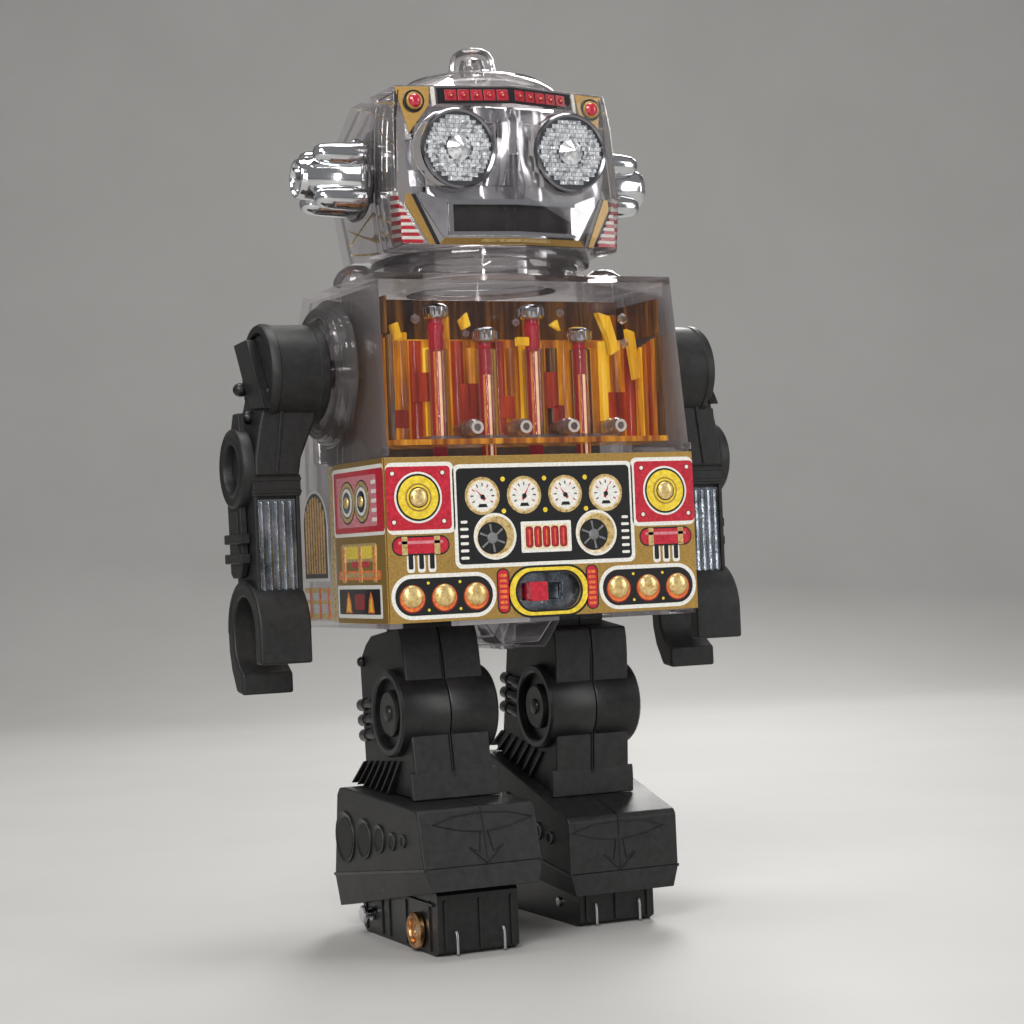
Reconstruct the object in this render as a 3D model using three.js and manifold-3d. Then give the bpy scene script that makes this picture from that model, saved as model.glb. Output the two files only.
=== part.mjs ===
// Battery-driven piston robot, about 280 mm tall, in a clear moulded body.
// Millimetres, +Z up, the robot faces -Y. The origin lies on the floor under the middle of its
// box. "right" and "left" are the robot's own sides, so right is -X.
import * as THREE from 'three';
import { ConvexGeometry } from 'three/addons/geometries/ConvexGeometry.js';
import { mergeVertices } from 'three/addons/utils/BufferGeometryUtils.js';
import Module from 'manifold-3d';

const wasm = await Module();
wasm.setup();

// ---- driving dimensions ----
const GAP = 0.3; // between pieces that touch
const FOOTPRINT_SHIFT = 2.69; // brings the middle of the two feet over the origin
const WALL = 1.8; // clear mouldings
const TORSO = {
  halfWidth: 51.2, topHalfWidth: 49.8, front: -43, topFront: -37.6, rear: 34, topRear: 27,
  bottom: 96.9, waist: 149, rearShoulder: 190, top: 203, seam: 1.5,
};
const PANEL = { bottom: 98.4, top: 147.4, thick: 0.7, sideThick: 0.5, sideEnd: -1 };
const SWITCH = { x: 0.3, z: 106, halfWidth: 10.4, halfHeight: 5.4, knobX: -3.6, travel: 6 };
const SHOULDER = { y: -3.4, z: 175.6, drumR: 15.5, drumIn: 57.4, drumOut: 76.2, axleR: 2 };
const NECK = { y: -3, holeR: 24, collarR: 34.5, top: 211.4 };
const HEAD = { seam: -7, bottom: 211.7, top: 262.4, cheekZ: 229 };
const DOME = { y: -3, r: 26.5, top: 280 };
const EAR = { y: 0.4, z: 237, base: 39.6, tip: 60 };
const EYE = { x: 19, z: 242, r: 12.3, back: -26, face: -33.4, apex: -37.4 };
const HIP = { y: -4, z: 103, swing: THREE.MathUtils.degToRad(7), shaftR: 2 };
const LEG = { x: 26.8, half: 12.8, neckHalf: 8.3, top: 94.8, wall: 1.9 };
const KNEE = { y: -10.8, z: 69.2, r: 13.5, half: 16 };
const FOOT = { inner: 9.4, outer: 47.3, sideLine: 21.5, wall: 2.4 };
const CARRIAGE = { inner: 15.4, outer: 41.4, front: -35.6, rear: 26, height: 20, wall: 2, pinZ: 17,
  pinR: 1.5 };
const ROLLER = { r: 6.3, z: 6.4, frontY: -21, rearY: 17.4, half: 9.5, axleR: 1.4, discR: 5.4 };
const WRIST = 110.4;
const PISTON = { y: -22.5, spacing: 16.4, stroke: 7.2, tubeTop: 181.5, tubeBottom: 153, capTop: 195.4 };
const CAM = { z: 131.6, lobeR: 4.7, shaftR: 1.8 };
const GEAR = { module: 1, small: 10, large: 30, rowA: 10.8, rowB: 1.5, width: 2.4 };
const CRANK = { y: -4, z: 124, throw: 2.56, armR: 5, pinR: 1.2 };
const CELL = { x: 29, y: 18.8, r: 12.8, bottom: 105.5, length: 49.5 };

// ---- geometry helpers ----
// Every shape becomes a closed solid, so that pieces can be joined and cut.
function solidOf(geometry) {
  const bare = geometry.clone();
  bare.deleteAttribute('normal');
  bare.deleteAttribute('uv');
  const welded = mergeVertices(bare, 1e-4);
  const position = welded.attributes.position;
  const corner = (i) => new THREE.Vector3().fromBufferAttribute(position, i);
  const triangles = [];
  let volume = 0;
  for (let i = 0; i < welded.index.count; i += 3) {
    const [a, b, c] = [0, 1, 2].map((k) => welded.index.getX(i + k));
    if (a === b || b === c || c === a) continue;
    volume += corner(a).dot(corner(b).cross(corner(c)));
    triangles.push([a, b, c]);
  }
  const ordered = volume < 0 ? triangles.map(([a, b, c]) => [a, c, b]) : triangles;
  return new wasm.Manifold(new wasm.Mesh({
    numProp: 3,
    vertProperties: new Float32Array(position.array),
    triVerts: new Uint32Array(ordered.flat()),
  }));
}

function geometryOf(solid) {
  const mesh = solid.getMesh();
  const geometry = new THREE.BufferGeometry();
  geometry.setAttribute('position', new THREE.BufferAttribute(new Float32Array(mesh.vertProperties), 3));
  geometry.setIndex(new THREE.BufferAttribute(new Uint32Array(mesh.triVerts), 1));
  geometry.computeVertexNormals();
  return geometry;
}

const join = (...solids) => solids.reduce((sum, next) => sum.add(next));
const cut = (body, ...tools) => tools.reduce((rest, tool) => rest.subtract(tool), body);

function box([x0, x1], [y0, y1], [z0, z1]) {
  const geometry = new THREE.BoxGeometry(x1 - x0, y1 - y0, z1 - z0);
  geometry.translate((x0 + x1) / 2, (y0 + y1) / 2, (z0 + z1) / 2);
  return solidOf(geometry);
}

function hull(points) {
  return solidOf(new ConvexGeometry(points.map((p) => new THREE.Vector3(...p))));
}

// Turns a shape drawn in (u, v) and extruded along w into place. Along x, (u, v) is (y, z);
// along y it is (x, z); along z it is (x, y).
const AXES = {
  x: new THREE.Matrix4().set(0, 0, 1, 0, 1, 0, 0, 0, 0, 1, 0, 0, 0, 0, 0, 1),
  y: new THREE.Matrix4().set(1, 0, 0, 0, 0, 0, -1, 0, 0, 1, 0, 0, 0, 0, 0, 1),
  z: new THREE.Matrix4(),
};

function extrude(shape, axis, from, to, curveSegments = 12) {
  const geometry = new THREE.ExtrudeGeometry(shape, { depth: to - from, bevelEnabled: false,
    curveSegments });
  geometry.translate(0, 0, axis === 'y' ? -to : from);
  geometry.applyMatrix4(AXES[axis]);
  return solidOf(geometry);
}

function outline(points) {
  return new THREE.Shape(points.map(([u, v]) => new THREE.Vector2(u, v)));
}

const prism = (points, axis, from, to) => extrude(outline(points), axis, from, to);

// A round bar along an axis; centre is its place across the axis.
function rod(axis, [u, v], radius, from, to, sides = 16) {
  const circle = [];
  for (let i = 0; i < sides; i += 1) {
    const angle = (i / sides) * 2 * Math.PI;
    circle.push([u + radius * Math.cos(angle), v + radius * Math.sin(angle)]);
  }
  return prism(circle, axis, from, to);
}

// A turned solid: profile is [radius, distance along the axis], from the axis back to the axis.
function turned(profile, axis, [u, v], sides = 16) {
  const points = profile.map(([radius, along]) => new THREE.Vector2(radius, along));
  const geometry = new THREE.LatheGeometry(points, sides);
  geometry.rotateX(Math.PI / 2);
  geometry.translate(u, v, 0);
  if (axis === 'y') geometry.scale(1, 1, -1);
  geometry.applyMatrix4(AXES[axis]);
  return solidOf(geometry);
}

function ball([x, y, z], radius) {
  const geometry = new THREE.SphereGeometry(radius, 12, 8);
  geometry.translate(x, y, z);
  return solidOf(geometry);
}

function mirrored(geometry) {
  const copy = geometry.clone();
  copy.scale(-1, 1, 1);
  const index = copy.index.array;
  for (let i = 0; i < index.length; i += 3) [index[i + 1], index[i + 2]] = [index[i + 2], index[i + 1]];
  copy.computeVertexNormals();
  return copy;
}

// ---- materials ----
const plastic = (color, roughness = 0.4) => new THREE.MeshStandardMaterial({ color, roughness,
  metalness: 0 });
const metal = (color, roughness = 0.3) => new THREE.MeshStandardMaterial({ color, roughness,
  metalness: 1 });
const clear = () => new THREE.MeshStandardMaterial({
  color: 0xdfe0e2, roughness: 0.08, metalness: 0, transparent: true, opacity: 0.3 });
const MATERIALS = {
  clear,
  amber: () => new THREE.MeshStandardMaterial({
    color: 0xb4620e, roughness: 0.15, metalness: 0, transparent: true, opacity: 0.7 }),
  ruby: () => plastic(0xb0142c, 0.2),
  black: () => plastic(0x1b1b1c, 0.38),
  gold: () => metal(0xb98f3a, 0.35),
  chrome: () => metal(0xd8dadd, 0.08),
  steel: () => metal(0xa8a9ac, 0.3),
  brass: () => metal(0xc29a4b, 0.25),
  white: () => plastic(0xe9e6da, 0.45),
  red: () => plastic(0xc8202e, 0.35),
  yellow: () => plastic(0xd8b21c, 0.4),
  silver: () => metal(0xc9ced2, 0.18),
  grey: () => plastic(0x6d6f72, 0.5),
};

const robot = new THREE.Group();
robot.name = 'piston_robot';
robot.position.y = FOOTPRINT_SHIFT;

function addPiece(name, solid, material, parent = robot, offset = [0, 0, 0], flip = false) {
  const geometry = flip ? mirrored(geometryOf(solid)) : geometryOf(solid);
  const mesh = new THREE.Mesh(geometry, MATERIALS[material]());
  mesh.name = name;
  mesh.position.set(...offset);
  parent.add(mesh);
}

// A piece drawn on the left side, and its mirror image on the right.
function addPair(name, solid, material) {
  addPiece(`left_${name}`, solid, material);
  addPiece(`right_${name}`, solid, material, robot, [0, 0, 0], true);
}

// ---- torso ----
// The body's outside, drawn in by `inset` on every face: a box below the waist, and above it a
// block that leans back and narrows.
function torsoBlock(inset) {
  const { halfWidth, topHalfWidth, front, topFront, rear, topRear, bottom, waist, rearShoulder,
    top } = TORSO;
  const level = (half, y0, y1, z) => {
    const [x, a, b] = [half - inset, y0 + inset, y1 - inset];
    return [[-x, a, z], [x, a, z], [x, b, z], [-x, b, z]];
  };
  const low = box([inset - halfWidth, halfWidth - inset], [front + inset, rear - inset],
    [bottom + inset, waist]);
  const high = hull([
    ...level(halfWidth, front, rear, waist - 0.5),
    ...level(topHalfWidth + 0.4, topFront - 1.3, rear, rearShoulder),
    ...level(topHalfWidth, topFront, topRear, top - inset),
  ]);
  return join(low, high);
}

function hipSlot(x) {
  const reach = LEG.neckHalf + 1.2;
  return box([x - reach, x + reach], [HIP.y - 11, HIP.y + 11], [TORSO.bottom - 1, TORSO.bottom + WALL + 1]);
}

function ovalSlot(grow, from, to) {
  const { x, z, halfWidth, halfHeight } = SWITCH;
  const radius = halfHeight + grow;
  const reach = halfWidth - halfHeight;
  const shape = new THREE.Shape();
  shape.absarc(x + reach, z, radius, -Math.PI / 2, Math.PI / 2, false);
  shape.absarc(x - reach, z, radius, Math.PI / 2, 1.5 * Math.PI, false);
  return extrude(shape, 'y', from, to, 8);
}

function shoulderBump(side) {
  const { top } = TORSO;
  const profile = [[0, top - 1], [6.4, top - 1], [6.4, top + 1.5], [5.2, top + 4.2], [3, top + 5.7],
    [0, top + 6.2]];
  return turned(profile, 'z', [side * 43.2, -4.6], 16);
}

function buildTorso() {
  const { halfWidth, front, rear, bottom, top, seam } = TORSO;
  const neckHole = rod('z', [0, NECK.y], NECK.holeR, top - 4, top + 2, 24);
  const bearingHole = rod('x', [SHOULDER.y, SHOULDER.z], 4.8, -halfWidth - 2, halfWidth + 2);
  const skin = cut(torsoBlock(0), torsoBlock(WALL), neckHole, bearingHole, hipSlot(LEG.x), hipSlot(-LEG.x));
  const shell = join(skin, shoulderBump(1), shoulderBump(-1));
  const wide = [-halfWidth - 5, halfWidth + 5];
  const tall = [bottom - 5, top + 20];
  const frontHalf = shell.intersect(box(wide, [front - 5, seam], tall));
  addPiece('torso_front_shell', cut(frontHalf, ovalSlot(0.2, front - 3, front + 4)), 'clear');
  const rearHalf = shell.intersect(box(wide, [seam + GAP, rear + 5], tall));
  const bay = box([-43, 43], [rear - WALL - 1, rear + 1], [103.5, 157.5]);
  addPiece('torso_rear_shell', cut(rearHalf, bay), 'clear');
  const lip = prism([[rear + GAP, 101], [rear + 1.9, 101], [rear + 1.9, 160], [rear + GAP, 160]], 'x',
    -45.5, 45.5);
  const grip = box([-9, 9], [rear + 1.5, rear + 3], [154, 156.4]);
  addPiece('battery_door', join(lip, grip), 'clear');

  const hopper = (inset, rise) => hull([[13.5, rise], [8, -8.4 + inset]].flatMap(([half, z]) => [-1,
    1].flatMap(
    (s) => [-24 + inset, 20 - inset].map((y) => [s * (half - inset), y, bottom - GAP + z]))));
  addPiece('crotch_hopper', cut(hopper(0, 0), hopper(1.6, 0.4)), 'clear');

  const plate = box([-halfWidth - 0.4, halfWidth + 0.4], [front - GAP - PANEL.thick, front - GAP],
    [PANEL.bottom, PANEL.top]);
  addPiece('front_panel', cut(plate, ovalSlot(0.2, front - 3, front + 4)), 'gold');
  const sidePanel = box([halfWidth + GAP, halfWidth + GAP + PANEL.sideThick], [front - 0.2, PANEL.sideEnd],
    [PANEL.bottom, PANEL.top]);
  addPair('side_panel', sidePanel, 'gold');
}

// ---- piston engine behind the chest window ----
const pistonX = (i) => (i - 1.5) * PISTON.spacing;
const FOUR = [0, 1, 2, 3];

function buildEngine() {
  const { y, tubeBottom, tubeTop, stroke, capTop, spacing } = PISTON;
  const face = y + 4.2;
  const back = -8.6;
  const flutes = 15;
  const pitch = 93 / flutes;
  const fluted = [];
  for (let i = 0; i < flutes; i += 1) fluted.push([-46.5 + i * pitch, face],
    [-46.5 + (i + 0.5) * pitch, face + 2.4]);
  const block = prism([...fluted, [46.5, face], [46.5, back], [-46.5, back]], 'z', tubeBottom,
    tubeTop + 3.5);
  const floor = box([-46.5, 46.5], [-39, face + 1], [tubeBottom - 2, tubeBottom]);
  const pocket = box([-43, 43], [face + 4.4, back - 1.6], [tubeBottom + 2, tubeTop + 5]);
  const stemHoles = FOUR.map((i) => rod('z', [pistonX(i), y], 2.7, tubeBottom - 3, tubeBottom + 1, 12));
  addPiece('engine_block', cut(join(block, floor), pocket, ...stemHoles), 'amber');

  // One clear moulding: a strip that carries the four cylinder tubes and a boss beside each.
  const strip = box([pistonX(0) - 5, pistonX(3) + spacing / 2 + 3], [y - 4.4, y + 3.6],
    [tubeBottom + GAP, tubeBottom + 1.6]);
  const outer = FOUR.map((i) => rod('z', [pistonX(i), y], 3.4, tubeBottom + GAP, tubeTop, 12));
  const inner = FOUR.map((i) => rod('z', [pistonX(i), y], 2.7, tubeBottom - 1, tubeTop + 1, 12));
  const boss = (i, radius, from, to) => rod('y', [pistonX(i) + spacing / 2, tubeBottom + 3.4], radius, from,
    to, 8);
  const bosses = FOUR.map((i) => boss(i, 2.3, -33, face - GAP));
  const drilled = FOUR.map((i) => boss(i, 1.2, -34, -28));
  addPiece('cylinder_tubes', cut(join(strip, ...outer, ...bosses), ...inner, ...drilled), 'clear');

  for (const i of FOUR) {
    const head = capTop - (i % 2 === 0 ? 0 : stroke);
    const length = capTop - (CAM.z + stroke / 2 + CAM.lobeR + GAP) - stroke;
    const stem = rod('z', [pistonX(i), y], 2.3, head - length, head - 3, 12);
    const cap = turned([[0, head - 4.6], [3.5, head - 4.6], [3.9, head - 3.6], [3.9, head - 1],
      [2.8, head], [0, head]], 'z', [pistonX(i), y], 12);
    addPiece(`piston_${i + 1}`, join(stem, cap), 'ruby');
  }
}

// ---- drive: motor, camshaft and crank ----
// Limits along x, reached from the middle towards side s.
const outward = (s, near, far) => (s > 0 ? [near, far] : [-far, -near]);

function gearOutline(teeth, [u, v], phase) {
  const pitchR = (teeth * GEAR.module) / 2;
  const [tip, root] = [pitchR + 0.75 * GEAR.module, pitchR - GEAR.module];
  const half = Math.PI / teeth;
  const points = [];
  for (let i = 0; i < teeth; i += 1) {
    for (const [radius, offset] of [[root, -0.5], [tip, -0.2], [tip, 0.2], [root, 0.5]]) {
      const angle = phase + (2 * i + offset) * half;
      points.push([u + radius * Math.cos(angle), v + radius * Math.sin(angle)]);
    }
  }
  return points;
}

// A gear with one tooth, or one gap, towards `degrees`.
function gear(teeth, centre, degrees, atGap, from) {
  const phase = THREE.MathUtils.degToRad(degrees) + (atGap ? Math.PI / teeth : 0);
  return prism(gearOutline(teeth, centre, phase), 'x', from, from + GEAR.width);
}

function buildDrive() {
  const { small, large, rowA, rowB, width } = GEAR;
  const cam = [PISTON.y, CAM.z];
  const crank = [CRANK.y, CRANK.z];
  const centres = ((small + large) * GEAR.module) / 2;
  const down = THREE.MathUtils.degToRad(262);
  const motor = [cam[0] + centres * Math.cos(down), cam[1] + centres * Math.sin(down)];
  const can = join(rod('x', motor, 8, -12.8, 8.2, 20), rod('x', motor, 3, 8, 9, 12),
    rod('x', motor, 1, 8.5, rowA + width, 10));
  addPiece('motor', can, 'steel');
  addPiece('motor_pinion', cut(gear(small, motor, 82, true, rowA), rod('x', motor, 1.05, 0, 20, 10)),
    'brass');

  // The camshaft carries the wheel that the motor drives and the pinion that drives the crank.
  const toCrank = THREE.MathUtils.radToDeg(Math.atan2(crank[1] - cam[1], crank[0] - cam[0]));
  const lobes = FOUR.map((i) => rod('x', [cam[0], cam[1] + (i % 2 === 0 ? 1 : -1) * PISTON.stroke / 2],
    CAM.lobeR, pistonX(i) - 2, pistonX(i) + 2, 10));
  const camshaft = join(rod('x', cam, CAM.shaftR, -40, 40, 12), ...lobes,
    gear(large, cam, 262, false, rowA), gear(small, cam, toCrank, true, rowB));
  addPiece('camshaft', camshaft, 'white');

  // Each end of the crank has an arm whose pin swings one leg's lever, half a turn apart.
  const ends = [-1, 1].flatMap((s) => [
    rod('x', crank, CRANK.armR, ...outward(s, 15.2, 16.9), 12),
    rod('x', [crank[0] - s * CRANK.throw, crank[1]], CRANK.pinR, ...outward(s, 16.5, 17.9), 8),
  ]);
  addPiece('crank_gear', join(gear(large, crank, toCrank + 180, false, rowB),
    rod('x', crank, 1.8, -16, 16, 12), ...ends),
    'white');

  // Two frame plates, with the spacers between them on the right one.
  const frame = [[-37, 99.6], [2.6, 99.6], [2.6, 146], [-34, 146], [-37, 138]];
  const holes = [[cam, CAM.shaftR + 0.3], [crank, 2.1], [[HIP.y, HIP.z], HIP.shaftR + 0.25]];
  const plate = (from, to) => cut(prism(frame, 'x', from, to),
    ...holes.map(([at, r]) => rod('x', at, r, from - 1, to + 1, 12)));
  const spacers = [[-35, 114.6], [-2, 142.8]].map((at) => rod('x', at, 1.5, -13.8, 13.2, 8));
  addPiece('gearbox_plate_left', plate(13.5, 14.7), 'grey');
  addPiece('gearbox_plate_right', join(plate(-14.7, -13.5), ...spacers), 'grey');
  addPiece('hip_shaft', rod('x', [HIP.y, HIP.z], HIP.shaftR, -44, 44, 16), 'steel');
}

function buildPower() {
  const { x, y, r, bottom, length } = CELL;
  for (const [name, s] of [['left', 1], ['right', -1]]) {
    const cell = turned([[0, bottom], [r - 0.8, bottom], [r, bottom + 1], [r, bottom + length - 3],
      [r - 0.8, bottom + length - 2], [3.2, bottom + length - 2], [3.2, bottom + length],
        [0, bottom + length]],
    'z', [s * x, y], 24);
    addPiece(`battery_${name}`, cell, 'silver');
  }
  const back = box([-44, 44], [3.9, 5.3], [103.9, 157]);
  const notch = box([-15.6, 15.6], [3, 30], [100, 147]);
  const shelf = (z0, z1) => [-1, 1].map((s) => box(s > 0 ? [15.6, 44] : [-44, -15.6], [4.5, 31], [z0, z1]));
  addPiece('battery_tray', join(cut(back, notch), ...shelf(103.9, 105.2), ...shelf(155.3, 157)), 'grey');

  const lampAt = [0, 10];
  addPiece('lamp_holder', join(box([-9, 9], [4, 24], [162, 164]), cut(rod('z', lampAt, 4.6, 163, 172, 16),
    rod('z', lampAt, 3.4, 166, 173, 16)), rod('y', [0, 163], 2, 23, 31.8, 12)), 'grey');
  addPiece('lamp', turned([[0, 166.4], [3, 166.4], [3, 172.5], [4.6, 175], [5, 178], [3.8, 181.2],
    [0, 182.4]],
    'z', lampAt, 16), 'yellow');

  const { front } = TORSO;
  const { x: sx, z, knobX, travel } = SWITCH;
  const wall = front + WALL + GAP;
  const body = box([sx - 14, sx + 14], [wall, wall + 3.2], [z - 5.6, z + 5.6]);
  const track = box([knobX - 3.6, knobX + travel + 3.6], [wall - 1, wall + 2.6], [z - 2.4, z + 2.4]);
  addPiece('switch_body', cut(body, track), 'silver');
  const knob = join(box([knobX - 3, knobX + 3], [front - 2.2, wall - GAP], [z - 2.9, z + 2.9]).intersect(
    rod('y', [knobX, z], 3.9, front - 3, wall + 1, 16)), box([knobX - 3, knobX + 3],
      [wall - 0.5, wall + 2.2], [z - 2, z + 2]));
  addPiece('switch_knob', knob, 'red');
}

// ---- neck and head ----
// The head's outside, drawn in by `inset`: a wedge-shaped front, cheeks that bulge at mouth
// height and a chamfered back.
function headBlock(inset) {
  const { bottom, top, cheekZ } = HEAD;
  const level = (half, corner, nose, rear, z) => {
    const [x, c, n, r] = [half - inset, corner + inset, nose + inset * 1.03, rear - inset];
    return [[-x, c, z], [x, c, z], [0, n, z], [-x, r, z], [x, r, z]];
  };
  return hull([
    ...level(36.6, -28.6, -33.8, 23, bottom + inset),
    ...level(38.6, -27.4, -34.8, 25, cheekZ),
    ...level(37.6, -25.4, -34.8, 25, 252),
    ...level(36.4, -24, -32.6, 12, top - inset),
  ]);
}

function buildHead() {
  const { seam, bottom, top } = HEAD;
  const steps = [[NECK.holeR - 2, TORSO.top + GAP], [27.5, TORSO.top + GAP], [27.5, 206], [31, 206],
    [31, 208.8],
    [NECK.collarR, 208.8], [NECK.collarR, NECK.top], [NECK.holeR - 2, NECK.top],
      [NECK.holeR - 2, TORSO.top + GAP]];
  addPiece('neck_collar', turned(steps, 'z', [0, NECK.y], 24), 'clear');

  const earHole = rod('x', [EAR.y, EAR.z], 4.4, -45, 45);
  const eyeHoles = [-1, 1].map((s) => rod('y', [s * EYE.x, EYE.z], EYE.r + GAP, -45, -20));
  const neckHole = rod('z', [0, NECK.y], 20, bottom - 1, bottom + 4, 24);
  const domeHole = rod('z', [0, DOME.y], 4, top - 4, top + 1);
  const shell = cut(headBlock(0), headBlock(1.6), earHole, neckHole, domeHole);
  const wide = [-60, 60];
  addPiece('head_front_shell', cut(shell.intersect(box(wide, [-50, seam], [200, 270])), ...eyeHoles),
    'clear');
  addPiece('head_rear_shell', shell.intersect(box(wide, [seam + GAP, 40], [200, 270])), 'clear');

  const rim = top + GAP;
  const dome = [[0, top - 3], [3.6, top - 3], [3.6, rim], [DOME.r, rim], [DOME.r, rim + 2.2],
    [22, rim + 5.4], [15, rim + 8],
    [8.6, rim + 9.4], [7.4, rim + 11], [7.6, rim + 14], [5.4, rim + 16.6], [0, DOME.top]];
  addPiece('dome_cap', turned(dome, 'z', [0, DOME.y], 24), 'clear');

  // Bright face plate: a thin skin just behind the wedge front, open at the eyes and the mouth.
  const skin = cut(headBlock(2.2), headBlock(3.4)).intersect(box([-32.6, 32.6], [-40, -22.4],
    [214.6, 256.4]));
  const sockets = [-1, 1].map((s) => rod('y', [s * EYE.x, EYE.z], EYE.r + 0.5, -45, -20));
  const mouth = prism([[-20, 216.6], [20, 216.6], [20, 225.6], [-20, 225.6]], 'y', -45, -20);
  addPiece('face_plate', cut(skin, ...sockets, mouth), 'chrome');

  const eye = turned([[0, EYE.back], [9, EYE.back], [EYE.r, EYE.face + 1], [EYE.r - 0.8, EYE.face],
    [4.4, EYE.face],
    [0, EYE.apex]], 'y', [EYE.x, EYE.z], 24);
  addPair('eye_reflector', eye, 'chrome');

  const { base, tip } = EAR;
  const cone = turned([[0, base - 7], [4, base - 7], [4, base], [9.4, base], [9.4, base + 2],
    [8.4, base + 2.4], [6.3, tip - 1],
    [6.3, tip], [4.8, tip], [4.4, tip - 5], [0, tip - 5]], 'x', [EAR.y, EAR.z], 24);
  const petals = [45, 135, 225, 315].map((degrees) => {
    const angle = THREE.MathUtils.degToRad(degrees);
    const at = [EAR.y + 9.4 * Math.cos(angle), EAR.z + 9.4 * Math.sin(angle)];
    return turned([[0, base + 0.6], [3.9, base + 0.6], [3.2, tip - 6], [0, tip - 3.8]], 'x', at, 8);
  });
  const collar = rod('x', [EAR.y, EAR.z], 13.2, base, base + 1.4, 24);
  addPair('ear', join(cone, collar, ...petals), 'chrome');
}

// ---- arms ----
function buildArms() {
  const { y, z, drumR, drumIn, drumOut, axleR } = SHOULDER;
  const outside = TORSO.halfWidth + GAP;
  const rings = [[4.4, outside], [23, outside], [23, 53.8], [21.8, 53.8], [21.8, 55.4], [20.6, 55.4],
    [20.6, 57],
    [17, 57], [17, 54.6], [4.4, 54.6], [4.4, outside]];
  const boss = cut(rod('x', [y, z], 4.5, 36, 54.8), rod('x', [y, z], axleR + 0.25, 35, 56));
  addPair('shoulder_bearing', cut(join(turned(rings, 'x', [y, z], 24), boss),
    rod('x', [y, z], axleR + 0.25, 30, 60)), 'clear');

  const drum = turned([[0, drumIn], [drumR, drumIn], [drumR, drumOut - 0.8], [drumR - 0.8, drumOut],
    [drumR - 3, drumOut],
    [drumR - 3, drumOut - 1], [0, drumOut - 1]], 'x', [y, z], 24);
  const axle = rod('x', [y, z], axleR, 34.5, drumIn + 1, 16);
  const upper = prism([[60, 168], [76.2, 172], [80.6, 152], [81, 144.8], [66.8, 144.8], [63.6, 156]], 'y',
    -12, 8.4);
  const fore = box([66.8, 81], [-9.6, 9.2], [WRIST + GAP, 145]);
  const band = box([66.4, 81.4], [-10.8, 9.6], [138, 144.6]);
  const plateSeat = box([67.4, 80.4], [-10.6, -8.4], [WRIST + 1.2, 137.4]);
  const blade = prism([[-1, 186.6], [11.5, 186], [-2.6, 165], [-15.5, 164.4]], 'x', drumOut - 1.5,
    drumOut + 2.3);
  const stud = join(ball([drumOut + 3, 4.6, 171.6], 2.2), rod('x', [4.6, 171.6], 1.2, drumOut - 1.5,
    drumOut + 3, 10));
  addPair('arm', cut(join(drum, axle, upper, fore, band, blade, stud), plateSeat), 'black');
  addPair('forearm_plate', box([67.7, 80.1], [-10.6, -8.7], [WRIST + 1.5, 137.1]), 'silver');

  // Hand: a thick C, closed at the back, with a short lower jaw and a longer front finger.
  const hand = new THREE.Shape();
  hand.moveTo(-17, 87.4);
  hand.lineTo(-17, 97);
  hand.absarc(-1, 97, 16, Math.PI, 0, true);
  hand.quadraticCurveTo(15, 84, 8, 78);
  hand.lineTo(2, 77.6);
  hand.lineTo(2, 84);
  hand.quadraticCurveTo(8.6, 87, 9.8, 97);
  hand.absarc(-1, 97, 10.8, 0, Math.PI, false);
  hand.lineTo(-11.8, 87.4);
  hand.closePath();
  const wrist = box([60, 90], [-30, 30], [WRIST, 130]);
  addPair('hand_claw', cut(extrude(hand, 'x', 66.5, 82.9, 10), wrist), 'black');

  // Moulded dress on the outer side: elbow ring, strap, cuff, blade and two ball studs.
  const side = 81 + 0.4 + GAP;
  const elbow = turned([[7.2, side], [12.2, side], [12.2, side + 2.6], [11, side + 3.2], [8.4, side + 3.2],
    [7.2, side + 2.4],
    [7.2, side]], 'x', [0.5, 147], 20);
  const strap = prism([[-3, 137], [-4, 116], [-1, 113.5], [8, 113.5], [9, 137]], 'x', side, side + 1.8);
  const cuff = box([side, side + 2.8], [-5.6, 9.8], [118, 127]);
  const riser = prism([[-5, 156], [5, 156], [1, 163.6], [-4, 163.6]], 'x', side, side + 1.8);
  addPair('arm_linkage', join(elbow, strap, cuff, riser), 'black');
}

// ---- legs ----
// Everything below is drawn with the leg upright. The two legs then swing apart, and each
// carriage turns back level in its foot.
const footTop = (y) => 38.8 + ((y + 39.4) * (49.4 - 38.8)) / (26.4 + 39.4);

function legBlock() {
  const side = [[-22.2, footTop(-22.2) + GAP], [-22.1, 50], [-20.4, 86], [-18.5, LEG.top], [6, LEG.top],
    [17.2, 88],
    [19.4, 56], [26, 50.2], [26, footTop(26) + GAP]];
  const [inner, outer] = [LEG.x - LEG.half, LEG.x + LEG.half];
  const face = [[inner, 40], [inner, 89.5], [LEG.x - LEG.neckHalf, LEG.top + 0.1],
    [LEG.x + LEG.neckHalf, LEG.top + 0.1],
    [outer, 89.5], [outer, 53], [outer + 2.6, 45], [outer + 2.6, 40]];
  return prism(side, 'x', inner, outer + 3).intersect(prism(face, 'y', -30, 40));
}

// One end of a slanting rib on a leg's side face.
function rib(span, y, z, rise) {
  return span(-0.5, rise).flatMap((x) => [[x, y - 0.8, z], [x, y + 0.8, z]]);
}

function legTrim(s) {
  const face = LEG.x + s * LEG.half;
  const span = (a, b) => (s > 0 ? [face + a, face + b] : [face - b, face - a]);
  const studs = [73.9, 69.1, 64.3].map((z) => turned([[0, 1], [1.9, 1], [1.9, 18.4], [1.2, 19.6],
    [0, 19.9]], 'y', [face, z], 8));
  const ribs = [0, 1, 2].map((i) => {
    const head = 14.6 - i * 11;
    const foot = head + 7;
    return hull([...rib(span, head, 55.2, 0.9), ...rib(span, foot, footTop(foot) + 0.8,
      s > 0 ? 3.4 : 1.6)]);
  });
  return join(...studs, ball([face + s * 0.4, 14.4, 87.4], 1.7), ...ribs);
}

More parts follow.
